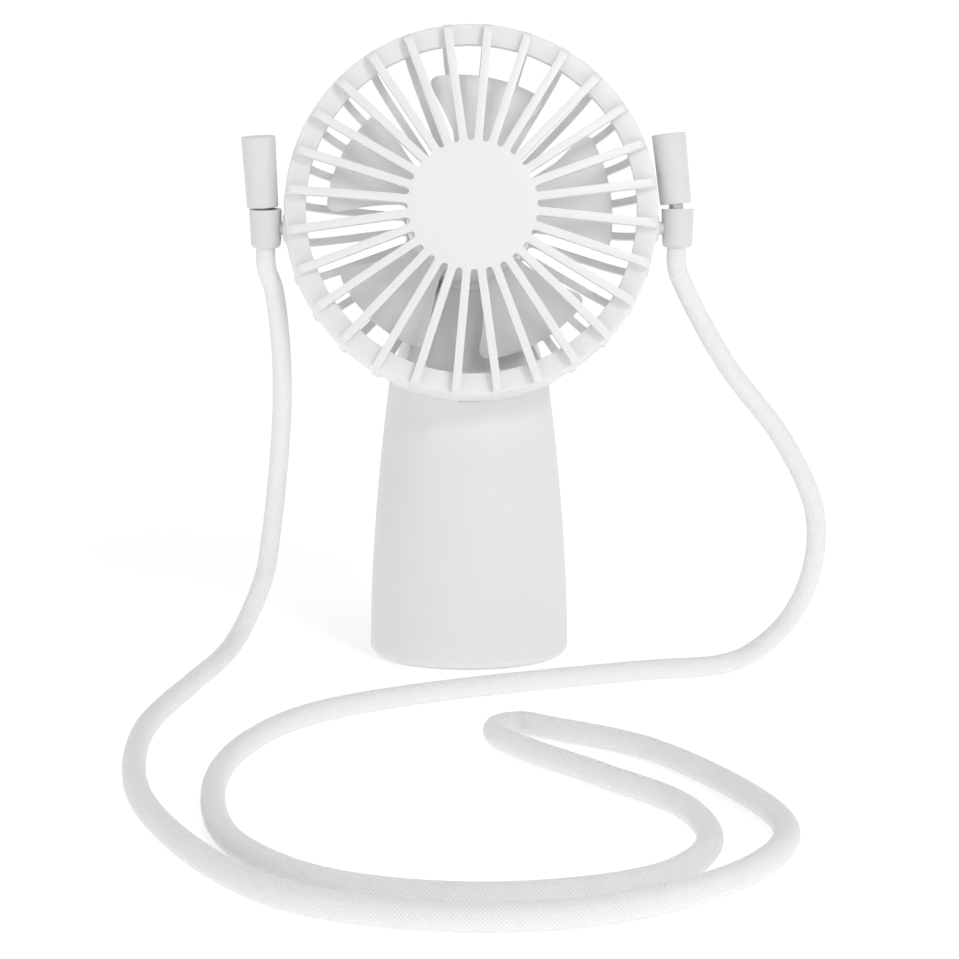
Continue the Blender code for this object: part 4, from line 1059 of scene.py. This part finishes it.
@dataclass
class Handle:
    """The grip, the neck and the motor pod in one moulding, and what closes them."""

    base: float = 27.4 * MM
    rounding: float = 2.6 * MM
    shoulder: float = 21.9 * MM
    shoulder_height: float = 75.0 * MM
    flare: float = 1.8
    lift: float = 0.4 * MM
    head_rise: float = 48.6 * MM
    pod: float = 17.3 * MM
    pod_front: float = 28.9 * MM
    pod_end: float = 42.0 * MM
    pod_wall: float = 2.0 * MM
    pod_floor: float = 2.1 * MM
    cage_gap: float = 0.12 * MM
    cover_thickness: float = 1.6 * MM
    spigot: float = 1.4 * MM
    spigot_length: float = 2.5 * MM
    mouth: float = 24.0 * MM
    mouth_depth: float = 6.0 * MM
    foot: float = 22.0 * MM
    foot_thickness: float = 1.2 * MM
    groove: tuple[float, float] = (3.0 * MM, 2.2 * MM)
    groove_depth: float = 0.25 * MM
    cap_thickness: float = 2.4 * MM
    screw: float = 0.9 * MM
    screw_head: float = 1.9 * MM
    screw_head_height: float = 1.2 * MM
    screw_across: float = 14.5 * MM
    back_steps: int = 3000

    def radius_at(self, height: float) -> float:
        """Return the grip's outer radius at a height."""
        share = height / self.shoulder_height
        return self.base - (self.base - self.shoulder) * share ** self.flare

    def sections(self) -> list[tuple[float, float, float, float]]:
        """Read the outside at many heights.

        Returns:
            Height, half width, front and back of each section, from the foot upwards.
        """
        rows = []
        for step in range(9):
            turn = math.radians(90 * step / 8)
            height = self.lift + self.rounding * (1 - math.cos(turn))
            radius = self.radius_at(height) - self.rounding * (1 - math.sin(turn))
            rows.append((height, radius, -radius, radius))
        low = self.lift + self.rounding
        for step in range(1, 19):
            height = low + (self.shoulder_height - low) * step / 18
            radius = self.radius_at(height)
            rows.append((height, radius, -radius, radius))
        corners = [Vector((row[0], row[1], row[2])) for row in rows[-3:]]
        backs = [Vector((row[0], row[3], 0.0)) for row in rows[-3:]]
        neck = [
            (0.103, 0.941, -0.950, 0.954), (0.195, 0.877, -0.868, 0.804), (0.288, 0.804, -0.799, 0.594),
            (0.370, 0.753, -0.708, 0.420), (0.453, 0.717, -0.616, 0.301), (0.556, 0.685, -0.502, 0.256),
            (0.679, 0.667, -0.411, 0.247),
        ]
        for share, width, front, back in neck:
            height = self.shoulder_height + share * self.head_rise
            corners.append(Vector((height, width * self.shoulder, front * self.shoulder)))
            backs.append(Vector((height, back * self.shoulder, 0.0)))
        fine, fine_backs = smooth_curve(corners, 60), smooth_curve(backs, self.back_steps)
        for corner in fine[8:]:
            back = min(fine_backs, key=lambda point: abs(point.x - corner.x))
            rows.append((corner.x, corner.y, corner.z, back.y))
        rows.sort()
        return rows

    def outside(self, steps: int = WIDE) -> Solid:
        """Return the grip and neck as one closed form.

        Args:
            steps: Number of points round each section.

        Returns:
            The form before the head's saddle and the openings are cut.
        """
        rows = self.sections()
        bm = bmesh.new()
        bmesh.ops.create_circle(bm, cap_ends=False, segments=steps, radius=1.0)
        loop = bm.edges[:]
        for number, (height, width, front, back) in enumerate(rows):
            if number:
                grown = bmesh.ops.extrude_edge_only(bm, edges=loop)["geom"]
                loop = [item for item in grown if isinstance(item, bmesh.types.BMEdge)]
                before = rows[number - 1]
            else:
                # The first ring starts as the unit circle.
                before = (0.0, 1.0, -1.0, 1.0)
            ring = {vert for edge in loop for vert in edge.verts}
            for vert in ring:
                middle = (before[2] + before[3]) / 2
                depth = (before[3] - before[2]) / 2
                x, y = vert.co.x / before[1], (vert.co.y - middle) / depth
                vert.co = (x * width, (front + back) / 2 + y * (back - front) / 2, height)
        bmesh.ops.holes_fill(bm, edges=[edge for edge in bm.edges if edge.is_boundary], sides=0)
        tidy(bm)
        return bm

    def saddle(self) -> Solid:
        """Make the room that the cage takes.

        Returns:
            Its form in the fan's frame.
        """
        cage = Cage()
        start = cage.parting + SEAT_GAP
        line = offset_path([(cage.wall_radius(start), start), *cage.outside()], -self.cage_gap)
        bm = turned([
            (0, -10 * MM), (line[0][0], -10 * MM), *line, (cage.plate, self.pod_front), (0, self.pod_front),
        ], 168)
        bm.transform(HEAD)
        return bm

    def pod_forms(self) -> tuple[Solid, Solid]:
        """Make the motor pod.

        Returns:
            Its outside and the hollow in it, in the fan's frame.
        """
        pod = rod(self.pod, self.pod_front - 2 * MM, self.pod_end + 3 * MM, WIDE)
        floor, wall, past = self.pod_front + self.pod_floor, self.pod - self.pod_wall, self.pod + 1 * MM
        hollow = turned([
            (0, floor), (wall, floor), (wall, self.pod_end), (past, self.pod_end),
            (past, self.pod_end + 20 * MM), (0, self.pod_end + 20 * MM),
        ], WIDE)
        for bm in (pod, hollow):
            bm.transform(HEAD)
        return pod, hollow

    def cavity(self) -> Solid:
        """Make the room in the grip.

        Returns:
            Its form, from below the foot to the shoulder.
        """
        top = self.shoulder_height - 4 * MM
        start = self.mouth_depth + 2 * MM
        inside = [(0, -5 * MM), (self.mouth, -5 * MM), (self.mouth, self.mouth_depth)]
        for step in range(16):
            height = start + (top - self.mouth_depth - 2 * MM) * step / 15
            inside.append((self.radius_at(height) - self.pod_wall, height))
        inside += [(14 * MM, top + 4 * MM), (8 * MM, top + 6.6 * MM), (0, top + 7.6 * MM)]
        return turned(inside, MEDIUM)

    def cover(self) -> Solid:
        """Make the domed cover that closes the pod.

        Returns:
            The cover in the head's frame.
        """
        face = self.pod_end + SEAT_GAP
        plug = self.pod - self.pod_wall - SEAT_GAP
        crown = face + self.cover_thickness
        lip, end = plug - self.spigot, face - self.spigot_length
        dome = ((0.85, 0.95), (0.6, 1.75), (0.3, 2.25), (0, 2.4))
        return turned([
            (0, face), (lip, face), (lip, end), (plug, end), (plug, face), (self.pod - 0.2 * MM, face),
            (self.pod, face + 0.3 * MM), (self.pod - 0.15 * MM, crown - 0.3 * MM),
            (self.pod - 1.0 * MM, crown + 0.35 * MM),
            *((share * self.pod, crown + rise * MM) for share, rise in dome),
        ], WIDE)

    def base_plate(self) -> Solid:
        """Make the plate in the grip's mouth, with its two screw holes.

        Returns:
            The plate.
        """
        low, rim = self.foot_thickness + SEAT_GAP, self.mouth - SEAT_GAP
        high = low + self.cap_thickness
        cap = turned([(0, low), (rim, low), (rim, high), (0, high)], WIDE)
        soften(cap, 0.3 * MM)
        seat = low + self.screw_head_height + SEAT_GAP
        head, shank = self.screw_head + SEAT_GAP, self.screw + SEAT_GAP
        holes = []
        for side in (-1, 1):
            hole = turned([
                (0, 0), (head, 0), (head, seat), (shank, seat), (shank, 3 * seat), (0, 3 * seat),
            ], TINY)
            bmesh.ops.translate(hole, verts=hole.verts, vec=(side * self.screw_across, 0, 0))
            holes.append(hole)
        return carve(cap, holes)

    def build(self) -> None:
        """Place the moulding, the pod's cover and the base."""
        pod, hollow = self.pod_forms()
        body = carve(self.outside(), [self.saddle(), hollow, self.cavity(), *Back().wells()], [pod])
        place_piece("grip_and_pod", body, GRIP_ABS, Body.FAN, ["handle_body"], smooth=32)
        place_piece("pod_dome", self.cover(), GRIP_ABS, Body.FAN, ["pod_cover"], HEAD)
        outer, inner = (self.foot - across for across in self.groove)
        foot = turned([
            (0, 0), (outer, 0), (outer, self.groove_depth), (inner, self.groove_depth), (inner, 0),
            (self.foot, 0), (self.foot, self.foot_thickness), (0, self.foot_thickness),
        ], WIDE)
        soften(foot, 0.12 * MM, segments=2)
        place_piece("grip_foot", foot, FOOT_RUBBER, Body.FAN, ["foot_pad"])
        place_piece("base_plate", self.base_plate(), GRIP_ABS, Body.FAN, ["base_cap"])


@dataclass
class Back:
    """The push button, light pipe and charging socket on the grip's back."""

    button: float = 5.5 * MM
    button_height: float = 52.0 * MM
    flange: float = 1.1 * MM
    flange_ends: tuple[float, float] = (-4.4 * MM, -3.2 * MM)
    stem: float = 2.0 * MM
    stem_end: float = -5.7 * MM
    lens: float = 1.3 * MM
    lens_height: float = 62.5 * MM
    port_width: float = 9.0 * MM
    port_thickness: float = 3.3 * MM
    port_height: float = 16.0 * MM
    port_wall: float = 0.35 * MM
    port_depth: float = 6.5 * MM
    port_sink: float = 0.7 * MM
    tongue_inset: float = 1.4 * MM
    tongue_half: float = 0.35 * MM
    board_back: float = 14.1 * MM
    well_floor: float = 19.0 * MM
    well_length: float = 12.0 * MM

    def facing(self, height: float, depth: float) -> Matrix:
        """Return a frame on the grip's back whose +Z points out of the back."""
        return Matrix.Translation((0, depth, height)) @ Matrix.Rotation(math.radians(-90), 4, "X")

    def round_well(self, radius: float, height: float, steps: int) -> Solid:
        """Make the hole round a round piece.

        Args:
            radius: The piece's radius.
            height: The height of its middle.
            steps: Number of steps round the hole.

        Returns:
            The hole's form.
        """
        bm = rod(radius + SEAT_GAP, 0, self.well_length, steps)
        bm.transform(self.facing(height, self.well_floor))
        return bm

    def wells(self) -> list[Solid]:
        """Make the holes round the button, the light pipe and the socket.

        Returns:
            Their forms.
        """
        half_width, half_height = self.port_width / 2 + SEAT_GAP, self.port_thickness / 2 + SEAT_GAP
        return [
            self.round_well(self.button, self.button_height, MEDIUM),
            self.round_well(self.lens, self.lens_height, TINY),
            self.rounded_slot(half_width, half_height, self.well_floor, 34 * MM),
        ]

    def rounded_slot(self, half_width: float, half_height: float, front: float, back: float) -> Solid:
        """Make a bar along Y with a round-ended section, at the socket's height.

        Args:
            half_width: Half its width, across.
            half_height: Half its height, and about the radius of its ends.
            front: Where it starts along Y.
            back: Where it ends.

        Returns:
            The bar.
        """
        bm = block((-half_width, front, self.port_height - half_height),
                   (half_width, back, self.port_height + half_height))
        along = [edge for edge in bm.edges if abs((edge.verts[0].co - edge.verts[1].co).normalized().y) > 0.9]
        round_edges(bm, along, half_height * 0.92, 8)
        return bm

    def build(self) -> None:
        """Place the button, the lens and the socket."""
        handle = Handle()
        flange, (low, high) = self.button + self.flange, self.flange_ends
        button = turned([
            (0, self.stem_end), (self.stem, self.stem_end), (self.stem, low), (flange, low), (flange, high),
            (self.button, high), (self.button, 0.7 * MM), (self.button - 1.0 * MM, 0.75 * MM),
            (self.button - 2.2 * MM, 0.55 * MM), (0, 0.35 * MM),
        ], MEDIUM)
        soften(button, 0.3 * MM, segments=4, angle=50)
        place_piece("power_button_cap", button, GRIP_ABS, Body.BUTTON, ["power_button"],
                    self.facing(self.button_height, handle.radius_at(self.button_height)))
        end = handle.radius_at(self.lens_height) - 0.1 * MM
        lens = turned([
            (0, self.board_back), (self.lens, self.board_back), (self.lens, end - 0.35 * MM),
            (self.lens * 0.8, end - 0.1 * MM), (0, end),
        ], SMALL)
        place_piece("charge_light", lens, LENS_ACRYLIC, Body.FAN, ["light_pipe"],
                    self.facing(self.lens_height, 0))
        mouth = handle.radius_at(self.port_height) - self.port_sink
        half_width, half_height = self.port_width / 2, self.port_thickness / 2
        shell = self.rounded_slot(half_width, half_height, self.board_back, mouth)
        room = self.rounded_slot(half_width - self.port_wall, half_height - self.port_wall,
                                 mouth - self.port_depth, mouth + 2 * MM)
        place_piece("charge_socket_shell", carve(shell, [room]), PLATED_STEEL, Body.FAN, ["usb_socket"],
                    smooth=30)
        across = half_width - self.tongue_inset
        tongue = block((-across, mouth - 6.8 * MM, self.port_height - self.tongue_half),
                       (across, mouth - 1.0 * MM, self.port_height + self.tongue_half))
        soften(tongue, 0.12 * MM, segments=2)
        place_piece("charge_socket_tongue", tongue, BLACK_NYLON, Body.FAN)


# The lanyard


@dataclass
class Fitting:
    """A cord fitting: a collar on its trunnion, with the cord's stopper standing on it.

    Attributes:
        name: Which side it is on.
        side: Minus one on the left, one on the right.
        pitch: How far its top leans forwards.
        lean: How far the barrel leans sideways.
        shift: How far the barrel's foot sits off the collar's axis.
        lift: The gap between collar and barrel.
        reach: How far the collar's axis is from the cage's side.
        cage_side: Where the cage's side is.
    """

    name: str
    side: int
    pitch: float
    lean: float
    shift: float
    lift: float
    reach: float
    cage_side: float = Cage().wall_radius(Cage.socket_depth)
    collar: float = 10.2 * MM
    collar_top: float = 4.25 * MM
    collar_mouth: float = 3.95 * MM
    bore: float = 2.9 * MM
    trunnion: float = 1.7 * MM
    trunnion_end: float = 4.0 * MM
    barrel: float = 18.4 * MM
    barrel_top: float = 4.45 * MM
    barrel_foot: float = 4.1 * MM
    stem: float = 1.9 * MM
    stem_in: float = 7.0 * MM
    insertion: float = 3.5 * MM
    cord_drop: float = 5.2 * MM

    def place(self) -> Matrix:
        """Return the collar's frame, its +Z up through the barrel."""
        spot = TRUNNION + Vector((self.side * (self.cage_side + self.reach), 0, 0))
        return Matrix.Translation(spot) @ Matrix.Rotation(self.pitch, 4, "X")

    def build(self) -> None:
        """Place the collar, barrel and stem."""
        half, base = self.collar / 2, self.place()
        collar = turned([
            (self.bore, half), (self.collar_top, half), (self.collar_mouth, -half + 0.7 * MM),
            (self.collar_mouth - 0.6 * MM, -half), (self.bore, -half),
        ], MEDIUM, closed=True)
        soften(collar, 0.28 * MM, segments=4, angle=25)
        trunnion = rod(self.trunnion, self.bore + 0.5 * MM, self.reach + self.trunnion_end - SEAT_GAP)
        soften(trunnion, 0.2 * MM, segments=2)
        join(collar, trunnion, Matrix.Rotation(math.radians(-90 * self.side), 4, "Y"))
        name, body = self.name, Body.LANYARD
        place_piece(f"{name}_cord_collar", collar, SHADED_FITTING_ABS, body, [f"{name}_collar"], base)
        foot = Matrix.Translation((self.shift, 0, half + self.lift))
        top = base @ foot @ Matrix.Rotation(self.lean, 4, "Y")
        hole, depth = self.stem + SEAT_GAP, self.stem_in + SEAT_GAP
        barrel = turned([
            (0, depth), (hole, depth), (hole, 0), (self.barrel_foot, 0), (self.barrel_top, self.barrel),
            (0, self.barrel),
        ], MEDIUM)
        soften(barrel, 0.35 * MM, segments=4, angle=30)
        place_piece(f"{name}_cord_barrel", barrel, SHADED_FITTING_ABS, body, [f"{name}_barrel"], top)
        low = -half + self.insertion + 0.5 * MM - half - self.lift
        stem = rod(self.stem, low, self.stem_in)
        soften(stem, 0.25 * MM)
        place_piece(f"{name}_cord_stem", stem, PLATED_STEEL, body, [f"{name}_stem"], top)

    def cord_heights(self) -> tuple[float, float]:
        """Return how high the cord's end and its first free point are in the collar's frame."""
        return -self.collar / 2 + self.insertion, -self.collar / 2 - self.cord_drop


@dataclass
class NeckCord:
    """One braided cord from collar to collar, laid forwards on the table in a long fold."""

    left: Fitting
    right: Fitting
    diameter: float = 5.2 * MM
    lie: float = 2.8 * MM
    rings: int = 900

    def route(self) -> list[Vector]:
        """Lay the cord's middle line.

        Returns:
            The points that it passes through, from the left collar to the right one.
        """
        down = [
            (-52.1, -17.5, 101.2), (-50.5, -11.5, 74.0), (-54.6, -6.0, 32.0), (-56.7, -8.0, 21.4),
            (-63.4, -14.5, 7.0),
        ]
        laid = [
            (-72.6, -55.0), (-78.3, -107.0), (-69.6, -169.5), (-41.5, -224.0), (-16.0, -237.8),
            (10.0, -238.2), (34.0, -225.5), (51.0, -204.7), (56.1, -182.0), (36.6, -123.5), (15.8, -102.4),
            (9.4, -97.0), (4.0, -99.6), (2.8, -108.5), (8.9, -122.0), (24.1, -146.0), (38.2, -171.0),
            (39.6, -197.8), (26.9, -219.0), (-2.0, -228.3), (-30.0, -220.4), (-49.2, -196.8), (-57.4, -160.0),
            (-55.0, -121.0), (-41.0, -87.5), (-14.2, -65.4), (44.0, -39.6), (64.0, -34.0),
        ]
        up = [
            (76.2, -22.0, 4.1), (86.3, -17.0, 11.8), (91.4, -21.5, 25.5), (91.5, -24.5, 42.2),
            (83.0, -23.4, 61.2), (67.6, -21.8, 81.6), (56.4, -20.4, 101.9),
        ]
        middle = [*down, *((x, y, self.lie / MM) for x, y in laid), *up]
        start, finish = (
            [side.place() @ Vector((0, 0, height)) for height in side.cord_heights()]
            for side in (self.left, self.right)
        )
        return [*start, *(Vector(point) * MM for point in middle), *reversed(finish)]

    def tube(self, points: Sequence[Vector]) -> bpy.types.Mesh:
        """Run a round tube along a line, with its map along in X and around in Y.

        Args:
            points: The line.

        Returns:
            The tube's mesh.
        """
        curve = bpy.data.curves.new("cord_line", "CURVE")
        curve.dimensions = "3D"
        curve.bevel_depth = self.diameter / 2
        curve.bevel_resolution = 8
        curve.use_fill_caps = True
        spline = curve.splines.new("POLY")
        spline.points.add(len(points) - 1)
        for corner, point in zip(spline.points, points):
            corner.co = (*point, 1.0)
        line = link_object("cord_line", curve)
        graph = bpy.context.evaluated_depsgraph_get()
        mesh = bpy.data.meshes.new_from_object(line.evaluated_get(graph))
        bpy.data.objects.remove(line)
        bpy.data.curves.remove(curve)
        return mesh

    def build(self) -> None:
        points = smooth_curve(self.route(), self.rings)
        for point in points:
            point.z = max(point.z, self.lie)
        length = sum((two - one).length for one, two in pairwise(points))
        # Polyester yarn braided into a tube: a soft, slightly fuzzy white with fine crossing ridges, and
        # painted shade in the hollows between the yarns. The real yarns are about 0.4 mm wide, drawn a little
        # wider so that they show.
        braid = BraidedCord("braided_polyester_cord", Slot.CLOTH, "F6F6F5", "E6E6E5", 0.85, 0.25 * MM,
                            0.10 * MM, 1.5, 0.0, yarns=20, pitch=0.75 * MM, length=length)
        mesh = self.tube(points)
        mesh.name = "braided_neck_cord"
        cord = settle("braided_neck_cord", mesh, braid, Body.LANYARD, ["neck_cord"], 60)
        LOG.info("cord length %.4f m", length)


@dataclass
class Lanyard:
    """Both fittings and the cord between them."""

    def build(self) -> None:
        """Place the lanyard's pieces."""
        left = Fitting("left", -1, math.radians(6.0), math.radians(-2.5), -0.7 * MM, 0.45 * MM, 4.75 * MM)
        right = Fitting("right", 1, 0.0, math.radians(-6.5), -0.5 * MM, 1.3 * MM, 5.3 * MM)
        left.build()
        right.build()
        NeckCord(left, right).build()


@dataclass
class Insides:
    """The pieces whose CAD solids show: the drive, the electronics and the screws."""

    def build(self) -> None:
        """Give each of them its finish."""
        finishes = {
            "motor_can": PLATED_STEEL, "motor_shaft": PLATED_STEEL, "motor_bush": BUSH_BRONZE,
            "motor_end_cap": BLACK_NYLON, "motor_leads": BLACK_NYLON, "power_switch": BLACK_NYLON,
            "circuit_board": BOARD_MASK, "battery_cell": CELL_SLEEVE, "inner_frame": GRIP_ABS,
            "guard_screw_1": PLATED_STEEL, "guard_screw_2": PLATED_STEEL, "guard_screw_3": PLATED_STEEL,
            "base_screw_1": PLATED_STEEL, "base_screw_2": PLATED_STEEL,
        }
        for name, finish in finishes.items():
            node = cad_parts[name]
            node.data.materials.clear()
            node.data.materials.append(finish.make())
            LOG.info("%s: finish %s", name, finish.name)


# The studio


@dataclass
class Studio:
    """The pale table, the soft lights and the camera."""

    camera_place: tuple[float, float, float] = (-0.01804, -0.59974, 0.122)
    camera_pitch: float = math.radians(83.0)
    camera_turn: float = math.radians(-2.0)
    lens: float = 82.2
    floor_size: float = 60.0
    near: float = 0.1
    near_glow: float = 0.33
    far: float = 1.2
    far_glow: float = 0.54
    wall_radius: float = 8.0
    wall_height: float = 2.4
    backdrop_height: float = 8.0
    surround: float = 0.26

    def camera(self) -> None:
        """Set the camera where the photograph was taken from."""
        data = bpy.data.cameras.new("studio_camera")
        data.lens = self.lens
        data.sensor_width = 36.0
        data.clip_start, data.clip_end = 0.01, 50.0
        obj = link_object("studio_camera", data)
        obj.location = self.camera_place
        obj.rotation_euler = (self.camera_pitch, 0.0, self.camera_turn)
        bpy.context.scene.camera = obj

    def stand(self, name: str, bm: Solid, mat: bpy.types.Material) -> None:
        """Add a part of the studio that is no part of the fan.

        Args:
            name: Its name.
            bm: Its shape, which is freed.
            mat: Its material.
        """
        mesh = mesh_of(name, bm)
        mesh.materials.append(mat)
        link_object(name, mesh)

    def floor(self) -> None:
        """Lay the plain pale table, which glows a little more far from the fan."""
        bm = bmesh.new()
        bmesh.ops.create_grid(bm, x_segments=1, y_segments=1, size=self.floor_size / 2)
        mat, shader = new_material("studio_paper", {
            "Base Color": linear("FAFAFA"), "Roughness": 0.9, "Specular IOR Level": 0.1,
            "Emission Color": linear("FFFFFF"),
        })
        tree = mat.node_tree
        place = add_node(tree, "ShaderNodeTexCoord").outputs["Object"]
        away = add_node(tree, "ShaderNodeVectorMath", {0: place}, operation="LENGTH").outputs["Value"]
        glow = add_node(tree, "ShaderNodeMapRange", {
            "Value": away, "From Min": self.near, "From Max": self.far,
            "To Min": self.near_glow, "To Max": self.far_glow,
        })
        tree.links.new(glow.outputs["Result"], shader.inputs["Emission Strength"])
        self.stand("studio_floor", bm, mat)

    def wall(self) -> None:
        """Stand a glowing white wall round the table, taller behind the fan."""
        bm = bmesh.new()
        bmesh.ops.create_cone(
            bm, cap_ends=False, segments=96, radius1=self.wall_radius, radius2=self.wall_radius,
            depth=self.wall_height, matrix=Matrix.Translation((0, 0, self.wall_height / 2 - 0.01)),
        )
        for vert in bm.verts:
            if vert.co.z > 1 and vert.co.y > 0:
                vert.co.z = self.backdrop_height
        mat, _ = new_material("studio_glow", {
            "Base Color": linear("000000"), "Emission Color": linear("FFFFFF"), "Emission Strength": 1.0,
        })
        self.stand("studio_wall", bm, mat)

    def area(self, name: str, place: Sequence[float], aim: Sequence[float], size: float,
             power: float) -> None:
        """Hang one soft light.

        Args:
            name: The light's name.
            place: Where it hangs.
            aim: The point that it faces.
            size: Its width and height.
            power: Its power in watts.
        """
        data = bpy.data.lights.new(name, "AREA")
        data.shape, data.size, data.energy = "SQUARE", size, power
        obj = link_object(name, data)
        obj.location = place
        obj.rotation_euler = (Vector(aim) - Vector(place)).to_track_quat("-Z", "Y").to_euler()

    def lights(self) -> None:
        """Set the soft lights and the white surround."""
        world = bpy.data.worlds.new("studio_surround")
        world.use_nodes = True
        background = world.node_tree.nodes["Background"]
        background.inputs["Color"].default_value = linear("FFFFFF")
        background.inputs["Strength"].default_value = self.surround
        bpy.context.scene.world = world
        self.area("softbox_key", (0.5, -1.1, 0.8), (0, -0.05, 0.08), 0.3, 4.2)
        self.area("softbox_top", (0.1, -0.35, 1.3), (0, -0.05, 0.09), 0.8, 3.8)
        self.area("softbox_left", (-0.9, -1.0, 0.5), (0, -0.05, 0.09), 0.8, 0.9)
        bpy.context.scene.view_settings.view_transform = "Standard"

    def build(self) -> None:
        """Set the camera, floor, wall and lights."""
        self.camera()
        self.floor()
        self.wall()
        self.lights()


def main() -> None:
    """Build the scene: the studio and the cord first, then the head, the handle and the insides."""
    logging.basicConfig(level=logging.INFO, format="%(message)s")
    for part in (Studio(), Lanyard(), Cage(), Rotor(), Handle(), Back(), Insides()):
        part.build()


if __name__ == "__main__":
    main()
